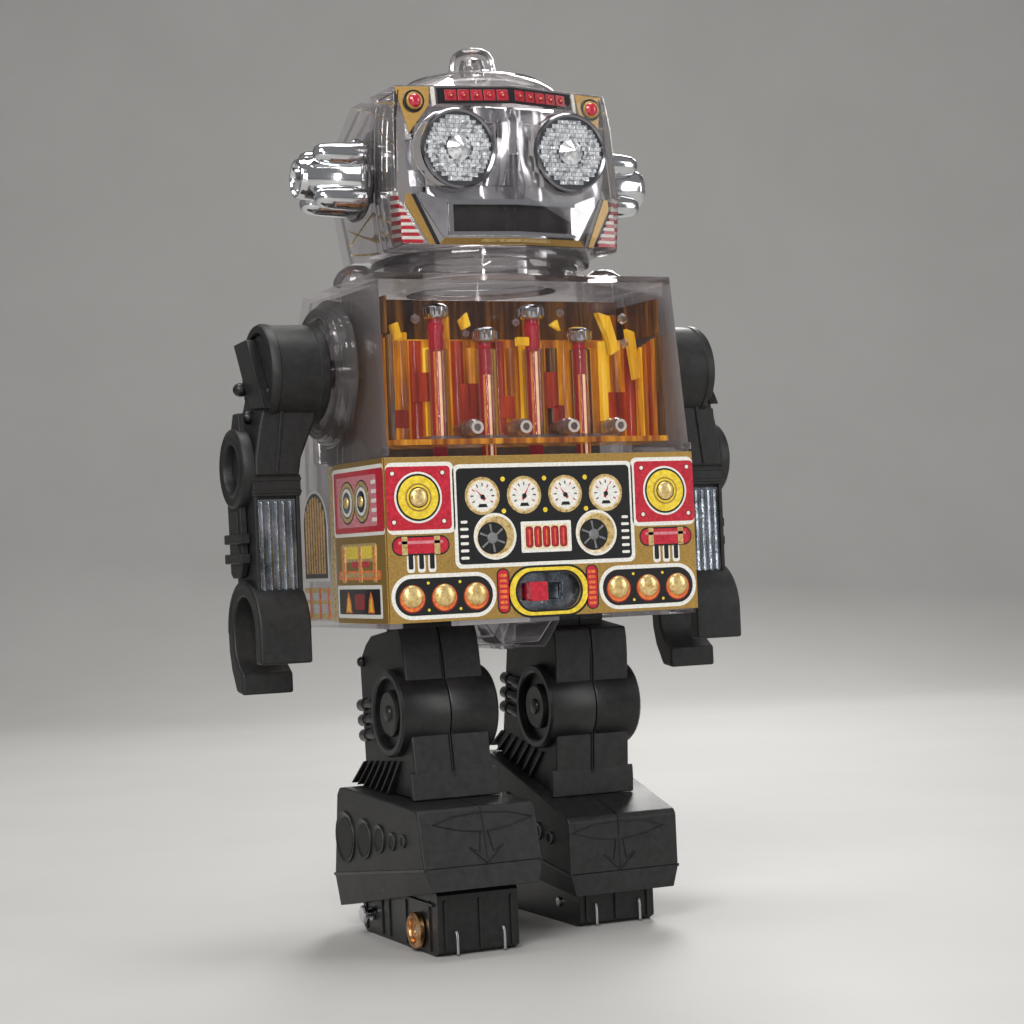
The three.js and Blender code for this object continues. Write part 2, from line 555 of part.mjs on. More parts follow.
function buildLegHalves(parent, flip) {
  const { x, half, wall } = LEG;
  const knee = rod('x', [KNEE.y, KNEE.z], KNEE.r, x - KNEE.half, x + KNEE.half, 20);
  const hub = join(box([x - LEG.neckHalf, x + LEG.neckHalf], [HIP.y - 7, HIP.y + 7], [LEG.top - 4, HIP.z]),
    rod('x', [HIP.y, HIP.z], 7, x - LEG.neckHalf, x + LEG.neckHalf));
  const bore = rod('x', [HIP.y, HIP.z], HIP.shaftR + 0.25, x - 12, x + 12, 16);
  const lever = cut(box([x - LEG.neckHalf, x - LEG.neckHalf + 2.2], [HIP.y - 3.6, HIP.y + 3.6],
    [HIP.z, 131]),
    box([x - 12, x], [HIP.y - 1.6, HIP.y + 1.6], [118, 129]));
  const pocket = (from, to) => prism([[-20, 47], [-18.3, 84], [-15, 89], [4, 89], [15, 85], [17.2, 57],
    [17.2, 53]], 'x', from, to);
  const faceRecess = (s) => {
    const at = x + s * KNEE.half;
    const deep = s > 0 ? [at - 1.8, at + 1] : [at - 1, at + 1.8];
    const ring = cut(rod('x', [KNEE.y, KNEE.z], 10.7, ...deep, 16),
      rod('x', [KNEE.y, KNEE.z], 6.6, ...deep, 12));
    const dish = s > 0 ? [at - 0.7, at + 1] : [at - 1, at + 0.7];
    return join(ring, cut(rod('x', [KNEE.y, KNEE.z], 7, ...dish, 20),
      rod('x', [KNEE.y, KNEE.z], 1.7, ...dish, 10)));
  };
  const whole = cut(join(legBlock(), knee, hub), bore);
  const halves = [['outer', 1, [x + GAP / 2, x + 30]], ['inner', -1, [x - 30, x - GAP / 2]]];
  for (const [name, s, span] of halves) {
    const inside = s > 0 ? pocket(x - 1, x + half - wall) : pocket(x - half + wall, x + 1);
    const body = cut(whole, inside, faceRecess(s)).intersect(box(span, [-50, 50], [20, 140]));
    const dressed = join(body, legTrim(s).intersect(box(span, [-50, 50], [20, 140])),
      ...(s < 0 ? [lever] : []));
    addPiece(`${flip ? 'right' : 'left'}_leg_${name}`, cut(dressed, bore), 'black', parent,
      [0, -HIP.y, -HIP.z], flip);
  }
}

function buildFoot(parent, flip) {
  const { inner, outer, sideLine, wall } = FOOT;
  const side = [[-42.8, 14.9], [-39.4, 38.8], [19.6, 48.4], [24.6, 48.6], [27.2, 46.6], [34.7, sideLine],
    [37, 11.3]];
  const face = [[inner + 1.9, 10], [inner, sideLine], [inner, 56], [outer, 56], [outer, sideLine],
    [outer - 1.9, 10]];
  const block = prism(side, 'x', inner, outer).intersect(prism(face, 'y', -50, 50));
  const cavity = prism([[-41.5, 6], [-37.6, 36.8], [19.4, 46.2], [24.4, 45.8], [32.6, sideLine], [35.8, 6]],
    'x',
    inner + wall, outer - wall);
  const dishes = [[21.6, 32.6, 8], [5.3, 31.9, 6.3], [-7.9, 31.6, 4.4]].flatMap(([y, z, r]) => [
    [outer - 1.2, outer + 1], [inner - 1, inner + 1.2]].map((span) => rod('x', [y, z], r, ...span, 16)));
  const pinHoles = rod('x', [HIP.y, CARRIAGE.pinZ], CARRIAGE.pinR + 0.25, inner - 1, outer + 1, 14);
  addPiece(`${flip ? 'right' : 'left'}_foot_shell`, cut(block, cavity, ...dishes, pinHoles), 'black',
    parent,
    [0, -HIP.y, -HIP.z], flip);
}

function buildCarriage(parent, flip) {
  const { inner, outer, front, rear, height, wall, pinZ, pinR } = CARRIAGE;
  const name = flip ? 'right' : 'left';
  // Swinging the leg lifts the pin a little, so the carriage is that much deeper below it.
  const lift = (HIP.z - pinZ) * (1 - Math.cos(HIP.swing));
  const offset = [0, -HIP.y, -pinZ - lift];
  const middle = (inner + outer) / 2;
  const shaped = prism([[front, 1.6], [front + 3, 0], [rear - 3, 0], [rear, 1.6], [rear, height - 3],
    [rear - 4, height],
    [front + 2, height], [front, height - 2]], 'x', inner, outer);
  const cavity = box([inner + wall, outer - wall], [front + wall, rear - wall], [-1, height - wall]);
  const pins = [[inner - 4.6, inner + 1], [outer - 1, outer + 4.6]].map((span) => rod('x',
    [HIP.y, pinZ + lift], pinR, ...span, 12));
  const bores = [ROLLER.frontY, ROLLER.rearY].map((y) => rod('x', [y, ROLLER.z], ROLLER.axleR + 0.2,
    inner - 1, outer + 1, 12));
  addPiece(`${name}_carriage`, cut(join(cut(shaped, cavity), ...pins), ...bores), 'black', parent, offset,
    flip);

  const axle = (y, [a, b]) => rod('x', [y, ROLLER.z], ROLLER.axleR, a, b, 12);
  const barrel = (y) => rod('x', [y, ROLLER.z], ROLLER.r, middle - ROLLER.half, middle + ROLLER.half, 20);
  const disc = cut(rod('x', [ROLLER.frontY, ROLLER.z], ROLLER.discR, outer + GAP, outer + 1.8, 24),
    rod('x', [ROLLER.frontY, ROLLER.z], 3.6, outer + 1.2, outer + 3, 20));
  const head = turned([[0, outer + 0.4], [2.2, outer + 0.4], [2.2, outer + 1], [1.2, outer + 1.6],
    [1.2, outer + 2.4],
    [2.7, outer + 2.8], [2.7, outer + 3.8], [0, outer + 4.2]], 'x', [ROLLER.rearY, ROLLER.z], 16);
  addPiece(`${name}_front_roller`, join(barrel(ROLLER.frontY),
    axle(ROLLER.frontY, [inner - 0.8, outer + 1.5]), disc), 'brass',
    parent, offset, flip);
  addPiece(`${name}_rear_roller`, join(barrel(ROLLER.rearY), axle(ROLLER.rearY, [inner - 0.8, outer + 1]),
    head), 'steel',
    parent, offset, flip);
}

function buildLegs() {
  for (const [flip, swing] of [[true, -HIP.swing], [false, HIP.swing]]) {
    const leg = new THREE.Group();
    leg.position.set(0, HIP.y, HIP.z);
    leg.rotation.x = swing;
    robot.add(leg);
    buildLegHalves(leg, flip);
    buildFoot(leg, flip);
    const carriage = new THREE.Group();
    carriage.position.set(0, 0, CARRIAGE.pinZ - HIP.z);
    carriage.rotation.x = -swing;
    leg.add(carriage);
    buildCarriage(carriage, flip);
  }
}

buildTorso();
buildEngine();
buildDrive();
buildPower();
buildHead();
buildArms();
buildLegs();

export default robot;
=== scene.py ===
import math

import bmesh
import bpy
from mathutils import Matrix, Vector


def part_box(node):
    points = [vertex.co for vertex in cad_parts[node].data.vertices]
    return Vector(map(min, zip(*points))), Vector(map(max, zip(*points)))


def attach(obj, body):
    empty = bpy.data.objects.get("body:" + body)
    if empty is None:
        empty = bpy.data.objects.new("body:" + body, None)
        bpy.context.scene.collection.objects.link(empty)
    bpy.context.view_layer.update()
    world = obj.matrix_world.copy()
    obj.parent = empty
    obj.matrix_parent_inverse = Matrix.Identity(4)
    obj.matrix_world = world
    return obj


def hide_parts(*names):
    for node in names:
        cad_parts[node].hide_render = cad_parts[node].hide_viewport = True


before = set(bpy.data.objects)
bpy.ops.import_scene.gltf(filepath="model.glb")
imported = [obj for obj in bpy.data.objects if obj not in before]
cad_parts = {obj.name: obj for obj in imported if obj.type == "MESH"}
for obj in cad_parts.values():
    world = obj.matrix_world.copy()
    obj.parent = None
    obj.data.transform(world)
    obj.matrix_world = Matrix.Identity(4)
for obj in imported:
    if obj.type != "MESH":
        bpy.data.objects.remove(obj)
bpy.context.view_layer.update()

MM = 0.001
LAYER = 0.06  # mm that each layer of print stands above the one under it
SWING = math.radians(7)
# The pieces are drawn about the body's middle, the frame about the feet.
SHIFT = Matrix.Translation((0, 2.69, 0))
HIP = Vector((0, -4, 103))
PIN = Vector((0, -4, 17))
# How far a swung leg's pin would rise; the carriages stay on the ground.
PIN_DROP = (HIP.z - PIN.z) * (1 - math.cos(SWING))
SIDES = {"left": 1, "right": -1}

# The camera the photograph was taken with, in mm and degrees.
CAMERA_RIGHT, CAMERA_BACK, CAMERA_HEIGHT = 8.33, 710.65, 116.76
CAMERA_TURN, CAMERA_PITCH, CAMERA_ROLL = 24.69, 1.157, -2.37
SENSOR_WIDTH, FOCAL_LENGTH = 36, 77.8

# The cove: floor from COVE_FRONT to COVE_BACK, a bend of COVE_BEND and a wall up to COVE_TOP, in mm.
COVE_FRONT, COVE_BACK, COVE_BEND, COVE_TOP, COVE_HALF_WIDTH = -2500, 1000, 500, 3200, 4000
COVE_TURN = -24.65
LAMP_AIM = Vector((0, 0, 0.15))
# Name, place and size in metres, power in watts.
LAMPS = (
    ("key", (-0.75, -0.9, 0.95), (0.6, 0.6), 13),
    ("fill", (0.95, -0.75, 0.45), (0.4, 0.8), 3.5),
    ("top", (0.05, 0.1, 1.25), (0.8, 0.5), 10),
    ("window_strip", (-0.35, -1.0, 0.32), (0.06, 0.5), 2.0),
    ("rim", (0.55, 0.85, 0.65), (0.3, 0.6), 6),
)


def node_box(node):
    """Lowest and highest corner of a CAD node, in mm, where the pieces are drawn."""
    back = SHIFT.inverted()
    return tuple(back @ (Vector(corner) / MM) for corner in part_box(node))


def leg_matrix(side):
    """From a leg drawn upright to where it stands, swung about the hip."""
    turn = Matrix.Rotation(SIDES[side] * SWING, 4, "X")
    return Matrix.Translation(HIP) @ turn @ Matrix.Translation(-HIP)


def truck_matrix(side):
    """From a foot carriage drawn under an upright leg to where it stands, level."""
    return Matrix.Translation(leg_matrix(side) @ PIN - PIN - Vector((0, 0, PIN_DROP)))


# ---- materials ----

def material(name, color, roughness=0.5, metallic=0.0, coat=0.0, ior=1.5, emission=None):
    made = bpy.data.materials.new(name)
    made.use_nodes = True
    shader = made.node_tree.nodes["Principled BSDF"]
    shader.inputs["Base Color"].default_value = (*color, 1)
    shader.inputs["Roughness"].default_value = roughness
    shader.inputs["Metallic"].default_value = metallic
    shader.inputs["Coat Weight"].default_value = coat
    shader.inputs["Coat Roughness"].default_value = 0.06
    shader.inputs["IOR"].default_value = ior
    if emission:
        shader.inputs["Emission Color"].default_value = (*color, 1)
        shader.inputs["Emission Strength"].default_value = emission
    return made


def node(made, kind, **values):
    """A shader node, with its inputs set by name and its properties in lower case."""
    new = made.node_tree.nodes.new(kind)
    for key, value in values.items():
        if key in new.inputs:
            new.inputs[key].default_value = value
        else:
            setattr(new, key, value)
    return new


def link(made, start, out, end, into):
    made.node_tree.links.new(start.outputs[out], end.inputs[into])


def noise(made, scale, detail=4, stretch=(1, 1, 1)):
    """Noise over the object's own coordinates; scale is per metre."""
    place = node(made, "ShaderNodeTexCoord")
    mapping = node(made, "ShaderNodeMapping", Scale=stretch)
    texture = node(made, "ShaderNodeTexNoise", Scale=scale, Detail=detail, Roughness=0.6)
    link(made, place, "Object", mapping, "Vector")
    link(made, mapping, "Vector", texture, "Vector")
    return texture


def ramp(made, stops):
    """A colour ramp with (position, colour) stops."""
    new = node(made, "ShaderNodeValToRGB")
    elements = new.color_ramp.elements
    while len(elements) < len(stops):
        elements.new(0.5)
    for element, (position, color) in zip(elements, stops):
        element.position = position
        element.color = (*color, 1)
    return new


def mottle(made, dark, light, scale, stretch=(1, 1, 1), spread=(0.35, 0.65)):
    """Base colour that varies between two tones."""
    texture = noise(made, scale, 5, stretch)
    tones = ramp(made, [(spread[0], dark), (spread[1], light)])
    link(made, texture, "Fac", tones, "Fac")
    link(made, tones, "Color", made.node_tree.nodes["Principled BSDF"], "Base Color")
    return made


def roughen(made, scale, low, high, stretch=(1, 1, 1)):
    """Roughness that varies between low and high."""
    texture = noise(made, scale, 4, stretch)
    spread = node(made, "ShaderNodeMapRange")
    spread.inputs["To Min"].default_value = low
    spread.inputs["To Max"].default_value = high
    link(made, texture, "Fac", spread, "Value")
    link(made, spread, "Result", made.node_tree.nodes["Principled BSDF"], "Roughness")
    return made


def bumpy(made, scale, strength, distance=0.0001, stretch=(1, 1, 1)):
    texture = noise(made, scale, 3, stretch)
    bump = node(made, "ShaderNodeBump", Strength=strength, Distance=distance)
    link(made, texture, "Fac", bump, "Height")
    link(made, bump, "Normal", made.node_tree.nodes["Principled BSDF"], "Normal")
    return made


def clear_plastic(name, tint, haze, gloss=0.045, bend=1.5):
    """Thin clear wall: see-through, with gloss by angle and a faint haze of scuffs."""
    made = material(name, (0.92, 0.91, 0.92), gloss)
    shader = made.node_tree.nodes["Principled BSDF"]
    output = made.node_tree.nodes["Material Output"]
    through = node(made, "ShaderNodeBsdfTransparent", Color=(*tint, 1))
    fresnel = node(made, "ShaderNodeFresnel", IOR=bend)
    scuffs = noise(made, 160, 6, (1, 1, 0.5))
    spread = node(made, "ShaderNodeMapRange")
    spread.inputs["From Min"].default_value = 0.35
    spread.inputs["From Max"].default_value = 0.8
    spread.inputs["To Min"].default_value = haze * 0.35
    spread.inputs["To Max"].default_value = haze * 1.8
    total = node(made, "ShaderNodeMath", operation="ADD", use_clamp=True)
    mix = node(made, "ShaderNodeMixShader")
    shader.inputs["Metallic"].default_value = 0.85
    link(made, scuffs, "Fac", spread, "Value")
    link(made, fresnel, "Fac", total, 0)
    link(made, spread, "Result", total, 1)
    link(made, total, "Value", mix, "Fac")
    link(made, through, "BSDF", mix, 1)
    link(made, shader, "BSDF", mix, 2)
    link(made, mix, "Shader", output, "Surface")
    bumpy(made, 90, 0.12, 0.0003)
    return made


def black_plastic(name, tone, smooth, rough):
    """Moulded black: cloudy tone, fine leather grain and uneven gloss."""
    made = material(name, (tone, tone, tone), rough)
    made.node_tree.nodes["Principled BSDF"].inputs["Specular IOR Level"].default_value = 0.42
    mottle(made, (tone * 0.55, tone * 0.55, tone * 0.56), (tone * 1.7, tone * 1.7, tone * 1.75), 420,
           spread=(0.3, 0.7))
    return bumpy(roughen(made, 60, smooth, rough), 3300, 0.55, 0.00009)


def look(name, color, roughness, metallic=0.0, coat=0.0, glow=None, tones=(), gloss=(), bump=()):
    """A plain shader with its tones (mottle), gloss (roughen) and grain (bumpy) as wanted."""
    made = material(name, color, roughness, metallic, coat, emission=glow)
    if tones:
        mottle(made, *tones)
    if gloss:
        roughen(made, *gloss)
    if bump:
        bumpy(made, *bump)
    return made


def ink(name, color, dark, light, scale):
    """Glossy printed ink, slightly uneven in tone."""
    return look(name, color, 0.33, coat=0.5, tones=(dark, light, scale))


def amber(name, glow, *stops):
    """Translucent amber seen as tall streaks, with a painted glow standing in for the light shining through
    it.
    """
    made = material(name, (0.6, 0.3, 0.05), 0.22, coat=0.25)
    shader = made.node_tree.nodes["Principled BSDF"]
    streaks = noise(made, 330, 6, (1, 1, 0.07))
    tones = ramp(made, stops)
    link(made, streaks, "Fac", tones, "Fac")
    link(made, tones, "Color", shader, "Base Color")
    link(made, tones, "Color", shader, "Emission Color")
    shader.inputs["Emission Strength"].default_value = glow
    return bumpy(made, 600, 0.5, 0.0005, (1, 1, 0.05))


def prism_painted_glints():
    """Bright facets with painted glints: each cell gets a random tone from dark to bright, so the reflector
    sparkles.
    """
    made = material("prism_painted_glints", (0.80, 0.82, 0.85), 0.14, 0.55)
    place = node(made, "ShaderNodeTexCoord")
    cells = node(made, "ShaderNodeTexVoronoi", Scale=900)
    tones = ramp(made, [(0.0, (0.22, 0.23, 0.25)), (0.5, (0.78, 0.80, 0.83)), (1.0, (0.98, 0.99, 1.0))])
    link(made, place, "Object", cells, "Vector")
    link(made, cells, "Color", tones, "Fac")
    link(made, tones, "Color", made.node_tree.nodes["Principled BSDF"], "Base Color")
    return made


M = {
    "clear": clear_plastic("clear_shell", (0.955, 0.945, 0.95), 0.005, bend=1.28),
    "clear_thick": clear_plastic("clear_moulding", (0.80, 0.79, 0.80), 0.035),
    "clear_tube": clear_plastic("clear_tube", (0.98, 0.93, 0.88), 0.015, bend=1.35),
    "brown_clear": clear_plastic("brown_window", (0.30, 0.20, 0.15), 0.05, 0.25),
    "frosted": clear_plastic("frosted_clear", (0.88, 0.82, 0.80), 0.30, 0.12),
    "black": black_plastic("black_plastic", 0.0105, 0.40, 0.56),
    "black_gloss": black_plastic("black_gloss_plastic", 0.0075, 0.24, 0.42),
    "pit": look("shaded_recess", (0.004, 0.004, 0.004), 0.6, gloss=(800, 0.5, 0.7)),
    "ink": look("black_ink", (0.006, 0.006, 0.007), 0.3, coat=0.5, gloss=(900, 0.22, 0.42)),
    "paper": look("white_ink", (0.80, 0.79, 0.74), 0.35, coat=0.4,
                  tones=((0.66, 0.65, 0.60), (0.86, 0.85, 0.80), 1400)),
    "cream": look("cream_ink", (0.85, 0.74, 0.52), 0.35, coat=0.4,
                  tones=((0.62, 0.46, 0.25), (0.90, 0.80, 0.60), 700)),
    "gold": look("gold_print", (0.60, 0.38, 0.10), 0.38, 0.75, 0.35,
                 tones=((0.36, 0.215, 0.05), (0.54, 0.345, 0.10), 2600),
                 gloss=(1500, 0.34, 0.55), bump=(5200, 0.3, 0.00003)),
    "gold_light": look("gold_light_print", (0.85, 0.62, 0.25), 0.3, 0.6, 0.3,
                       tones=((0.62, 0.40, 0.13), (0.93, 0.72, 0.34), 900), gloss=(900, 0.2, 0.4)),
    "red": ink("red_print", (0.50, 0.012, 0.03), (0.36, 0.006, 0.018), (0.58, 0.02, 0.045), 1100),
    "red_dark": look("dark_red_print", (0.25, 0.01, 0.01), 0.35, coat=0.5,
                     tones=((0.14, 0.005, 0.005), (0.34, 0.02, 0.015), 1300)),
    "orange": ink("orange_print", (0.75, 0.16, 0.03), (0.6, 0.09, 0.02), (0.85, 0.25, 0.05), 900),
    "pink": look("pink_print", (0.62, 0.20, 0.24), 0.35, coat=0.5,
                 tones=((0.5, 0.14, 0.17), (0.70, 0.26, 0.30), 900)),
    "yellow": ink("yellow_print", (0.82, 0.62, 0.03), (0.66, 0.46, 0.02), (0.90, 0.70, 0.06), 900),
    # Ruby plastic with a faint painted glow standing in for light coming through it.
    "ruby": look("ruby_plastic", (0.42, 0.01, 0.03), 0.12, coat=1.0, glow=0.12, gloss=(700, 0.08, 0.22)),
    # Painted highlight for the piston rods: glowing cream and warm orange tones stand in for the light streak
    # inside each tube.
    "rod_painted_highlight": look("rod_highlight", (0.95, 0.78, 0.55), 0.3, glow=0.5,
                      tones=((0.80, 0.55, 0.34), (0.98, 0.88, 0.68), 350)),
    "rod_warm": look("rod_painted_warm_highlight", (0.85, 0.30, 0.06), 0.3, glow=0.25,
                     tones=((0.62, 0.12, 0.02), (0.95, 0.48, 0.10), 350)),
    "amber": amber("amber_streaked", 0.30, (0.25, (0.05, 0.010, 0.001)), (0.42, (0.26, 0.065, 0.004)),
                   (0.56, (0.52, 0.19, 0.008)), (0.72, (0.85, 0.45, 0.03))),
    "amber_dark": amber("amber_dark", 0.16, (0.3, (0.014, 0.005, 0.001)), (0.5, (0.085, 0.028, 0.003)),
                        (0.75, (0.34, 0.15, 0.012))),
    "amber_bright": amber("amber_bright", 0.34, (0.3, (0.50, 0.20, 0.005)), (0.5, (0.82, 0.47, 0.015)),
                          (0.7, (0.98, 0.78, 0.10))),
    "amber_red": amber("amber_red", 0.26, (0.3, (0.09, 0.005, 0.001)), (0.5, (0.28, 0.022, 0.004)),
                       (0.75, (0.52, 0.065, 0.01))),
    "prism": prism_painted_glints(),
    "eye_rim": look("eye_rim_dark_chrome", (0.25, 0.25, 0.27), 0.12, 1.0, gloss=(400, 0.08, 0.2)),
    "plating": look("vacuum_plating", (0.6, 0.61, 0.63), 0.2, 0.85,
                    tones=((0.34, 0.35, 0.37), (0.72, 0.73, 0.75), 45),
                    gloss=(120, 0.12, 0.3), bump=(130, 0.35, 0.0006)),
    "chrome": look("chrome_plate", (0.66, 0.67, 0.69), 0.08, 1.0, gloss=(220, 0.05, 0.16)),
    "steel": look("brushed_steel", (0.52, 0.52, 0.53), 0.3, 1.0, gloss=(500, 0.2, 0.4, (1, 12, 12)),
                  bump=(900, 0.15, 0.00005, (1, 14, 14))),
    "foil": look("silver_foil", (0.20, 0.22, 0.25), 0.25, 0.9,
                 tones=((0.05, 0.058, 0.07), (0.34, 0.38, 0.43), 130, (1, 1, 0.5)),
                 gloss=(300, 0.15, 0.35), bump=(160, 0.5, 0.0008)),
    "brass": look("copper_brass", (0.75, 0.42, 0.20), 0.25, 1.0,
                  tones=((0.50, 0.25, 0.10), (0.85, 0.52, 0.26), 300), gloss=(400, 0.18, 0.38)),
    "nylon": look("white_nylon", (0.8, 0.79, 0.74), 0.5, tones=((0.70, 0.69, 0.63), (0.84, 0.83, 0.78), 240),
                  gloss=(300, 0.4, 0.6), bump=(2500, 0.15, 0.00004)),
    "grey": look("grey_plastic", (0.16, 0.16, 0.165), 0.5,
                 tones=((0.12, 0.12, 0.125), (0.2, 0.2, 0.205), 260),
                 gloss=(300, 0.4, 0.6), bump=(2500, 0.2, 0.00004)),
    "cell": look("cell_wrap", (0.30, 0.30, 0.32), 0.3, 0.4,
                 tones=((0.22, 0.22, 0.24), (0.36, 0.36, 0.38), 120), gloss=(400, 0.2, 0.4)),
    "rubber": look("black_rubber", (0.02, 0.02, 0.02), 0.7,
                   tones=((0.015, 0.015, 0.015), (0.03, 0.03, 0.03), 300),
                   gloss=(400, 0.6, 0.8), bump=(2000, 0.3, 0.00006)),
    "mouth_dark": look("brown_backing", (0.10, 0.06, 0.045), 0.6,
                       tones=((0.06, 0.035, 0.025), (0.15, 0.095, 0.07), 500)),
    "lamp": material("lamp_glass", (1.0, 0.72, 0.30), 0.1, emission=2.0),
}


# ---- mesh helpers; all lengths in mm ----

def finish_mesh(name, mesh_data, body, materials, replaces=(), bevel=0.0, angle=35, matrix=None,
                segments=2, slot=None):
    """Turns a bmesh drawn in mm into a piece that rides on a body."""
    if matrix is not None:
        mesh_data.transform(matrix)
    mesh_data.transform(Matrix.Scale(MM, 4) @ SHIFT)
    bmesh.ops.recalc_face_normals(mesh_data, faces=mesh_data.faces)
    mesh = bpy.data.meshes.new(name)
    mesh_data.to_mesh(mesh)
    mesh_data.free()
    for each in materials if isinstance(materials, (list, tuple)) else [materials]:
        mesh.materials.append(M[each])
    mesh.shade_smooth()
    mesh.set_sharp_from_angle(angle=math.radians(angle))
    piece = bpy.data.objects.new(name, mesh)
    bpy.context.scene.collection.objects.link(piece)
    if bevel:
        edge = piece.modifiers.new("edges", "BEVEL")
        edge.width = bevel * MM
        edge.segments = segments
        edge.limit_method = "ANGLE"
        edge.angle_limit = math.radians(30)
        edge.harden_normals = True
    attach(piece, body)
    if replaces:
        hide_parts(*([replaces] if isinstance(replaces, str) else replaces))
    return piece


def refined(cad_node, body, look, bevel=0.35, segments=2, slot=None):
    """The CAD node's own shape with flat faces joined up and its edges rounded."""
    copy = bmesh.new()
    copy.from_mesh(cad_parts[cad_node].data)
    copy.transform(SHIFT.inverted() @ Matrix.Scale(1 / MM, 4))
    bmesh.ops.remove_doubles(copy, verts=copy.verts, dist=0.004)
    bmesh.ops.dissolve_limit(copy, angle_limit=math.radians(1), verts=copy.verts, edges=copy.edges)
    return finish_mesh(f"{cad_node}_fine", copy, body, look, cad_node, bevel, segments=segments, slot=slot)


def place_across(axis, u, v, along):
    """A point from its two coordinates across an axis and the one along it."""
    return {"x": (along, u, v), "y": (u, along, v), "z": (u, v, along)}[axis]


def add_turned(target, profile, axis, centre, segments=64, index=0):
    """Revolves an open or closed (radius, along) profile about an axis and adds it."""
    rings = []
    for radius, along in profile:
        if radius < 1e-6:
            rings.append([target.verts.new(place_across(axis, *centre, along))] * segments)
            continue
        rings.append([
            target.verts.new(place_across(
                axis, centre[0] + radius * math.cos(math.tau * i / segments),
                centre[1] + radius * math.sin(math.tau * i / segments), along))
            for i in range(segments)
        ])
    for one, two in zip(rings, rings[1:]):
        for i in range(segments):
            j = (i + 1) % segments
            corners = list(dict.fromkeys([one[i], one[j], two[j], two[i]]))
            if len(corners) > 2:
                target.faces.new(corners).material_index = index


def turned(name, profile, axis, centre, body, look, segments=64, **options):
    made = bmesh.new()
    add_turned(made, profile, axis, centre, segments)
    return finish_mesh(name, made, body, look, **options)


def add_prism(target, outline, axis, low, high, index=0):
    """Adds an outline stretched along an axis."""
    ends = [[target.verts.new(place_across(axis, u, v, along)) for u, v in outline] for along in (low, high)]
    count = len(outline)
    faces = [target.faces.new(ends[0]), target.faces.new(ends[1][::-1])]
    faces += [target.faces.new([ends[0][i], ends[1][i], ends[1][(i + 1) % count], ends[0][(i + 1) % count]])
              for i in range(count)]
    for face in faces:
        face.material_index = index


def add_box(target, x, y, z, index=0):
    add_prism(target, [(x[0], y[0]), (x[1], y[0]), (x[1], y[1]), (x[0], y[1])], "z", *z, index)


def arc(u, v, radius, start, end, steps=16):
    """Points of an arc, angles in degrees."""
    return [(u + radius * math.cos(math.radians(start + (end - start) * i / steps)),
             v + radius * math.sin(math.radians(start + (end - start) * i / steps)))
            for i in range(steps + 1)]


def circle(u, v, radius, steps=40):
    return arc(u, v, radius, 0, 360 - 360 / steps, steps - 1)


def rounded(u0, v0, u1, v1, radius, steps=6):
    corners = [(u1 - radius, v0 + radius, -90), (u1 - radius, v1 - radius, 0),
               (u0 + radius, v1 - radius, 90), (u0 + radius, v0 + radius, 180)]
    return [point for u, v, start in corners for point in arc(u, v, radius, start, start + 90, steps)]


class Print:
    """Flat artwork on one face: each shape is a thin layer above the ones before it."""

    def __init__(self, axis, face, outward):
        self.axis, self.face, self.outward = axis, face, outward
        self.mesh, self.looks = bmesh.new(), []

    def shape(self, outline, look, level):
        if look not in self.looks:
            self.looks.append(look)
        top = self.face + self.outward * LAYER * level
        add_prism(self.mesh, outline, self.axis, self.face - self.outward * 0.02, top, self.looks.index(look))

    def dot(self, u, v, radius, look, level, steps=32):
        self.shape(circle(u, v, radius, steps), look, level)

    def dome(self, u, v, radius, height, look, level):
        """A domed button with its flat side on the print."""
        if look not in self.looks:
            self.looks.append(look)
        base = self.face + self.outward * LAYER * level
        profile = [(radius * math.cos(a), base + self.outward * height * math.sin(a))
                   for a in [math.pi / 2 * i / 6 for i in range(6)]] + [(0, base + self.outward * height)]
        add_turned(self.mesh, profile, self.axis, (u, v), 28, self.looks.index(look))

    def done(self, name, body, slot="label_gold"):
        return finish_mesh(name, self.mesh, body, self.looks, slot=slot)


# ---- camera, lights and floor ----

def build_stage():
    """A pale cove, a soft room light and area lamps."""
    cove = bmesh.new()
    angles = [math.pi / 2 * i / 12 for i in range(1, 13)]
    curve = [(COVE_BACK + COVE_BEND * math.sin(a), COVE_BEND - COVE_BEND * math.cos(a)) for a in angles]
    bend = [(COVE_FRONT, 0), (COVE_BACK, 0)] + curve + [(COVE_BACK + COVE_BEND, COVE_TOP)]
    rows = [[cove.verts.new((x, y, z)) for y, z in bend] for x in (-COVE_HALF_WIDTH, COVE_HALF_WIDTH)]
    for i in range(len(bend) - 1):
        cove.faces.new([rows[0][i], rows[1][i], rows[1][i + 1], rows[0][i + 1]])
    cove.transform(Matrix.Rotation(math.radians(COVE_TURN), 4, "Z") @ Matrix.Scale(MM, 4))
    mesh = bpy.data.meshes.new("studio_cove")
    cove.to_mesh(mesh)
    cove.free()
    mesh.shade_smooth()
    floor = bpy.data.objects.new("studio_cove", mesh)
    bpy.context.scene.collection.objects.link(floor)
    pale = material("pale_floor", (0.42, 0.415, 0.405), 0.65)
    mesh.materials.append(mottle(pale, (0.41, 0.405, 0.395), (0.43, 0.425, 0.415), 8))

    world = bpy.data.worlds.new("soft_room")
    world.use_nodes = True
    backdrop = world.node_tree.nodes["Background"]
    backdrop.inputs["Color"].default_value = (0.80, 0.80, 0.82, 1)
    backdrop.inputs["Strength"].default_value = 0.30
    bpy.context.scene.world = world

    for name, place, size, power in LAMPS:
        lamp = bpy.data.lights.new(name, "AREA")
        lamp.shape = "RECTANGLE"
        lamp.size, lamp.size_y = size
        lamp.energy = power
        lamp.color = (1.0, 0.985, 0.96)
        made = bpy.data.objects.new(name, lamp)
        made.location = place
        aim = LAMP_AIM - made.location
        made.rotation_euler = aim.to_track_quat("-Z", "Y").to_euler()
        bpy.context.scene.collection.objects.link(made)


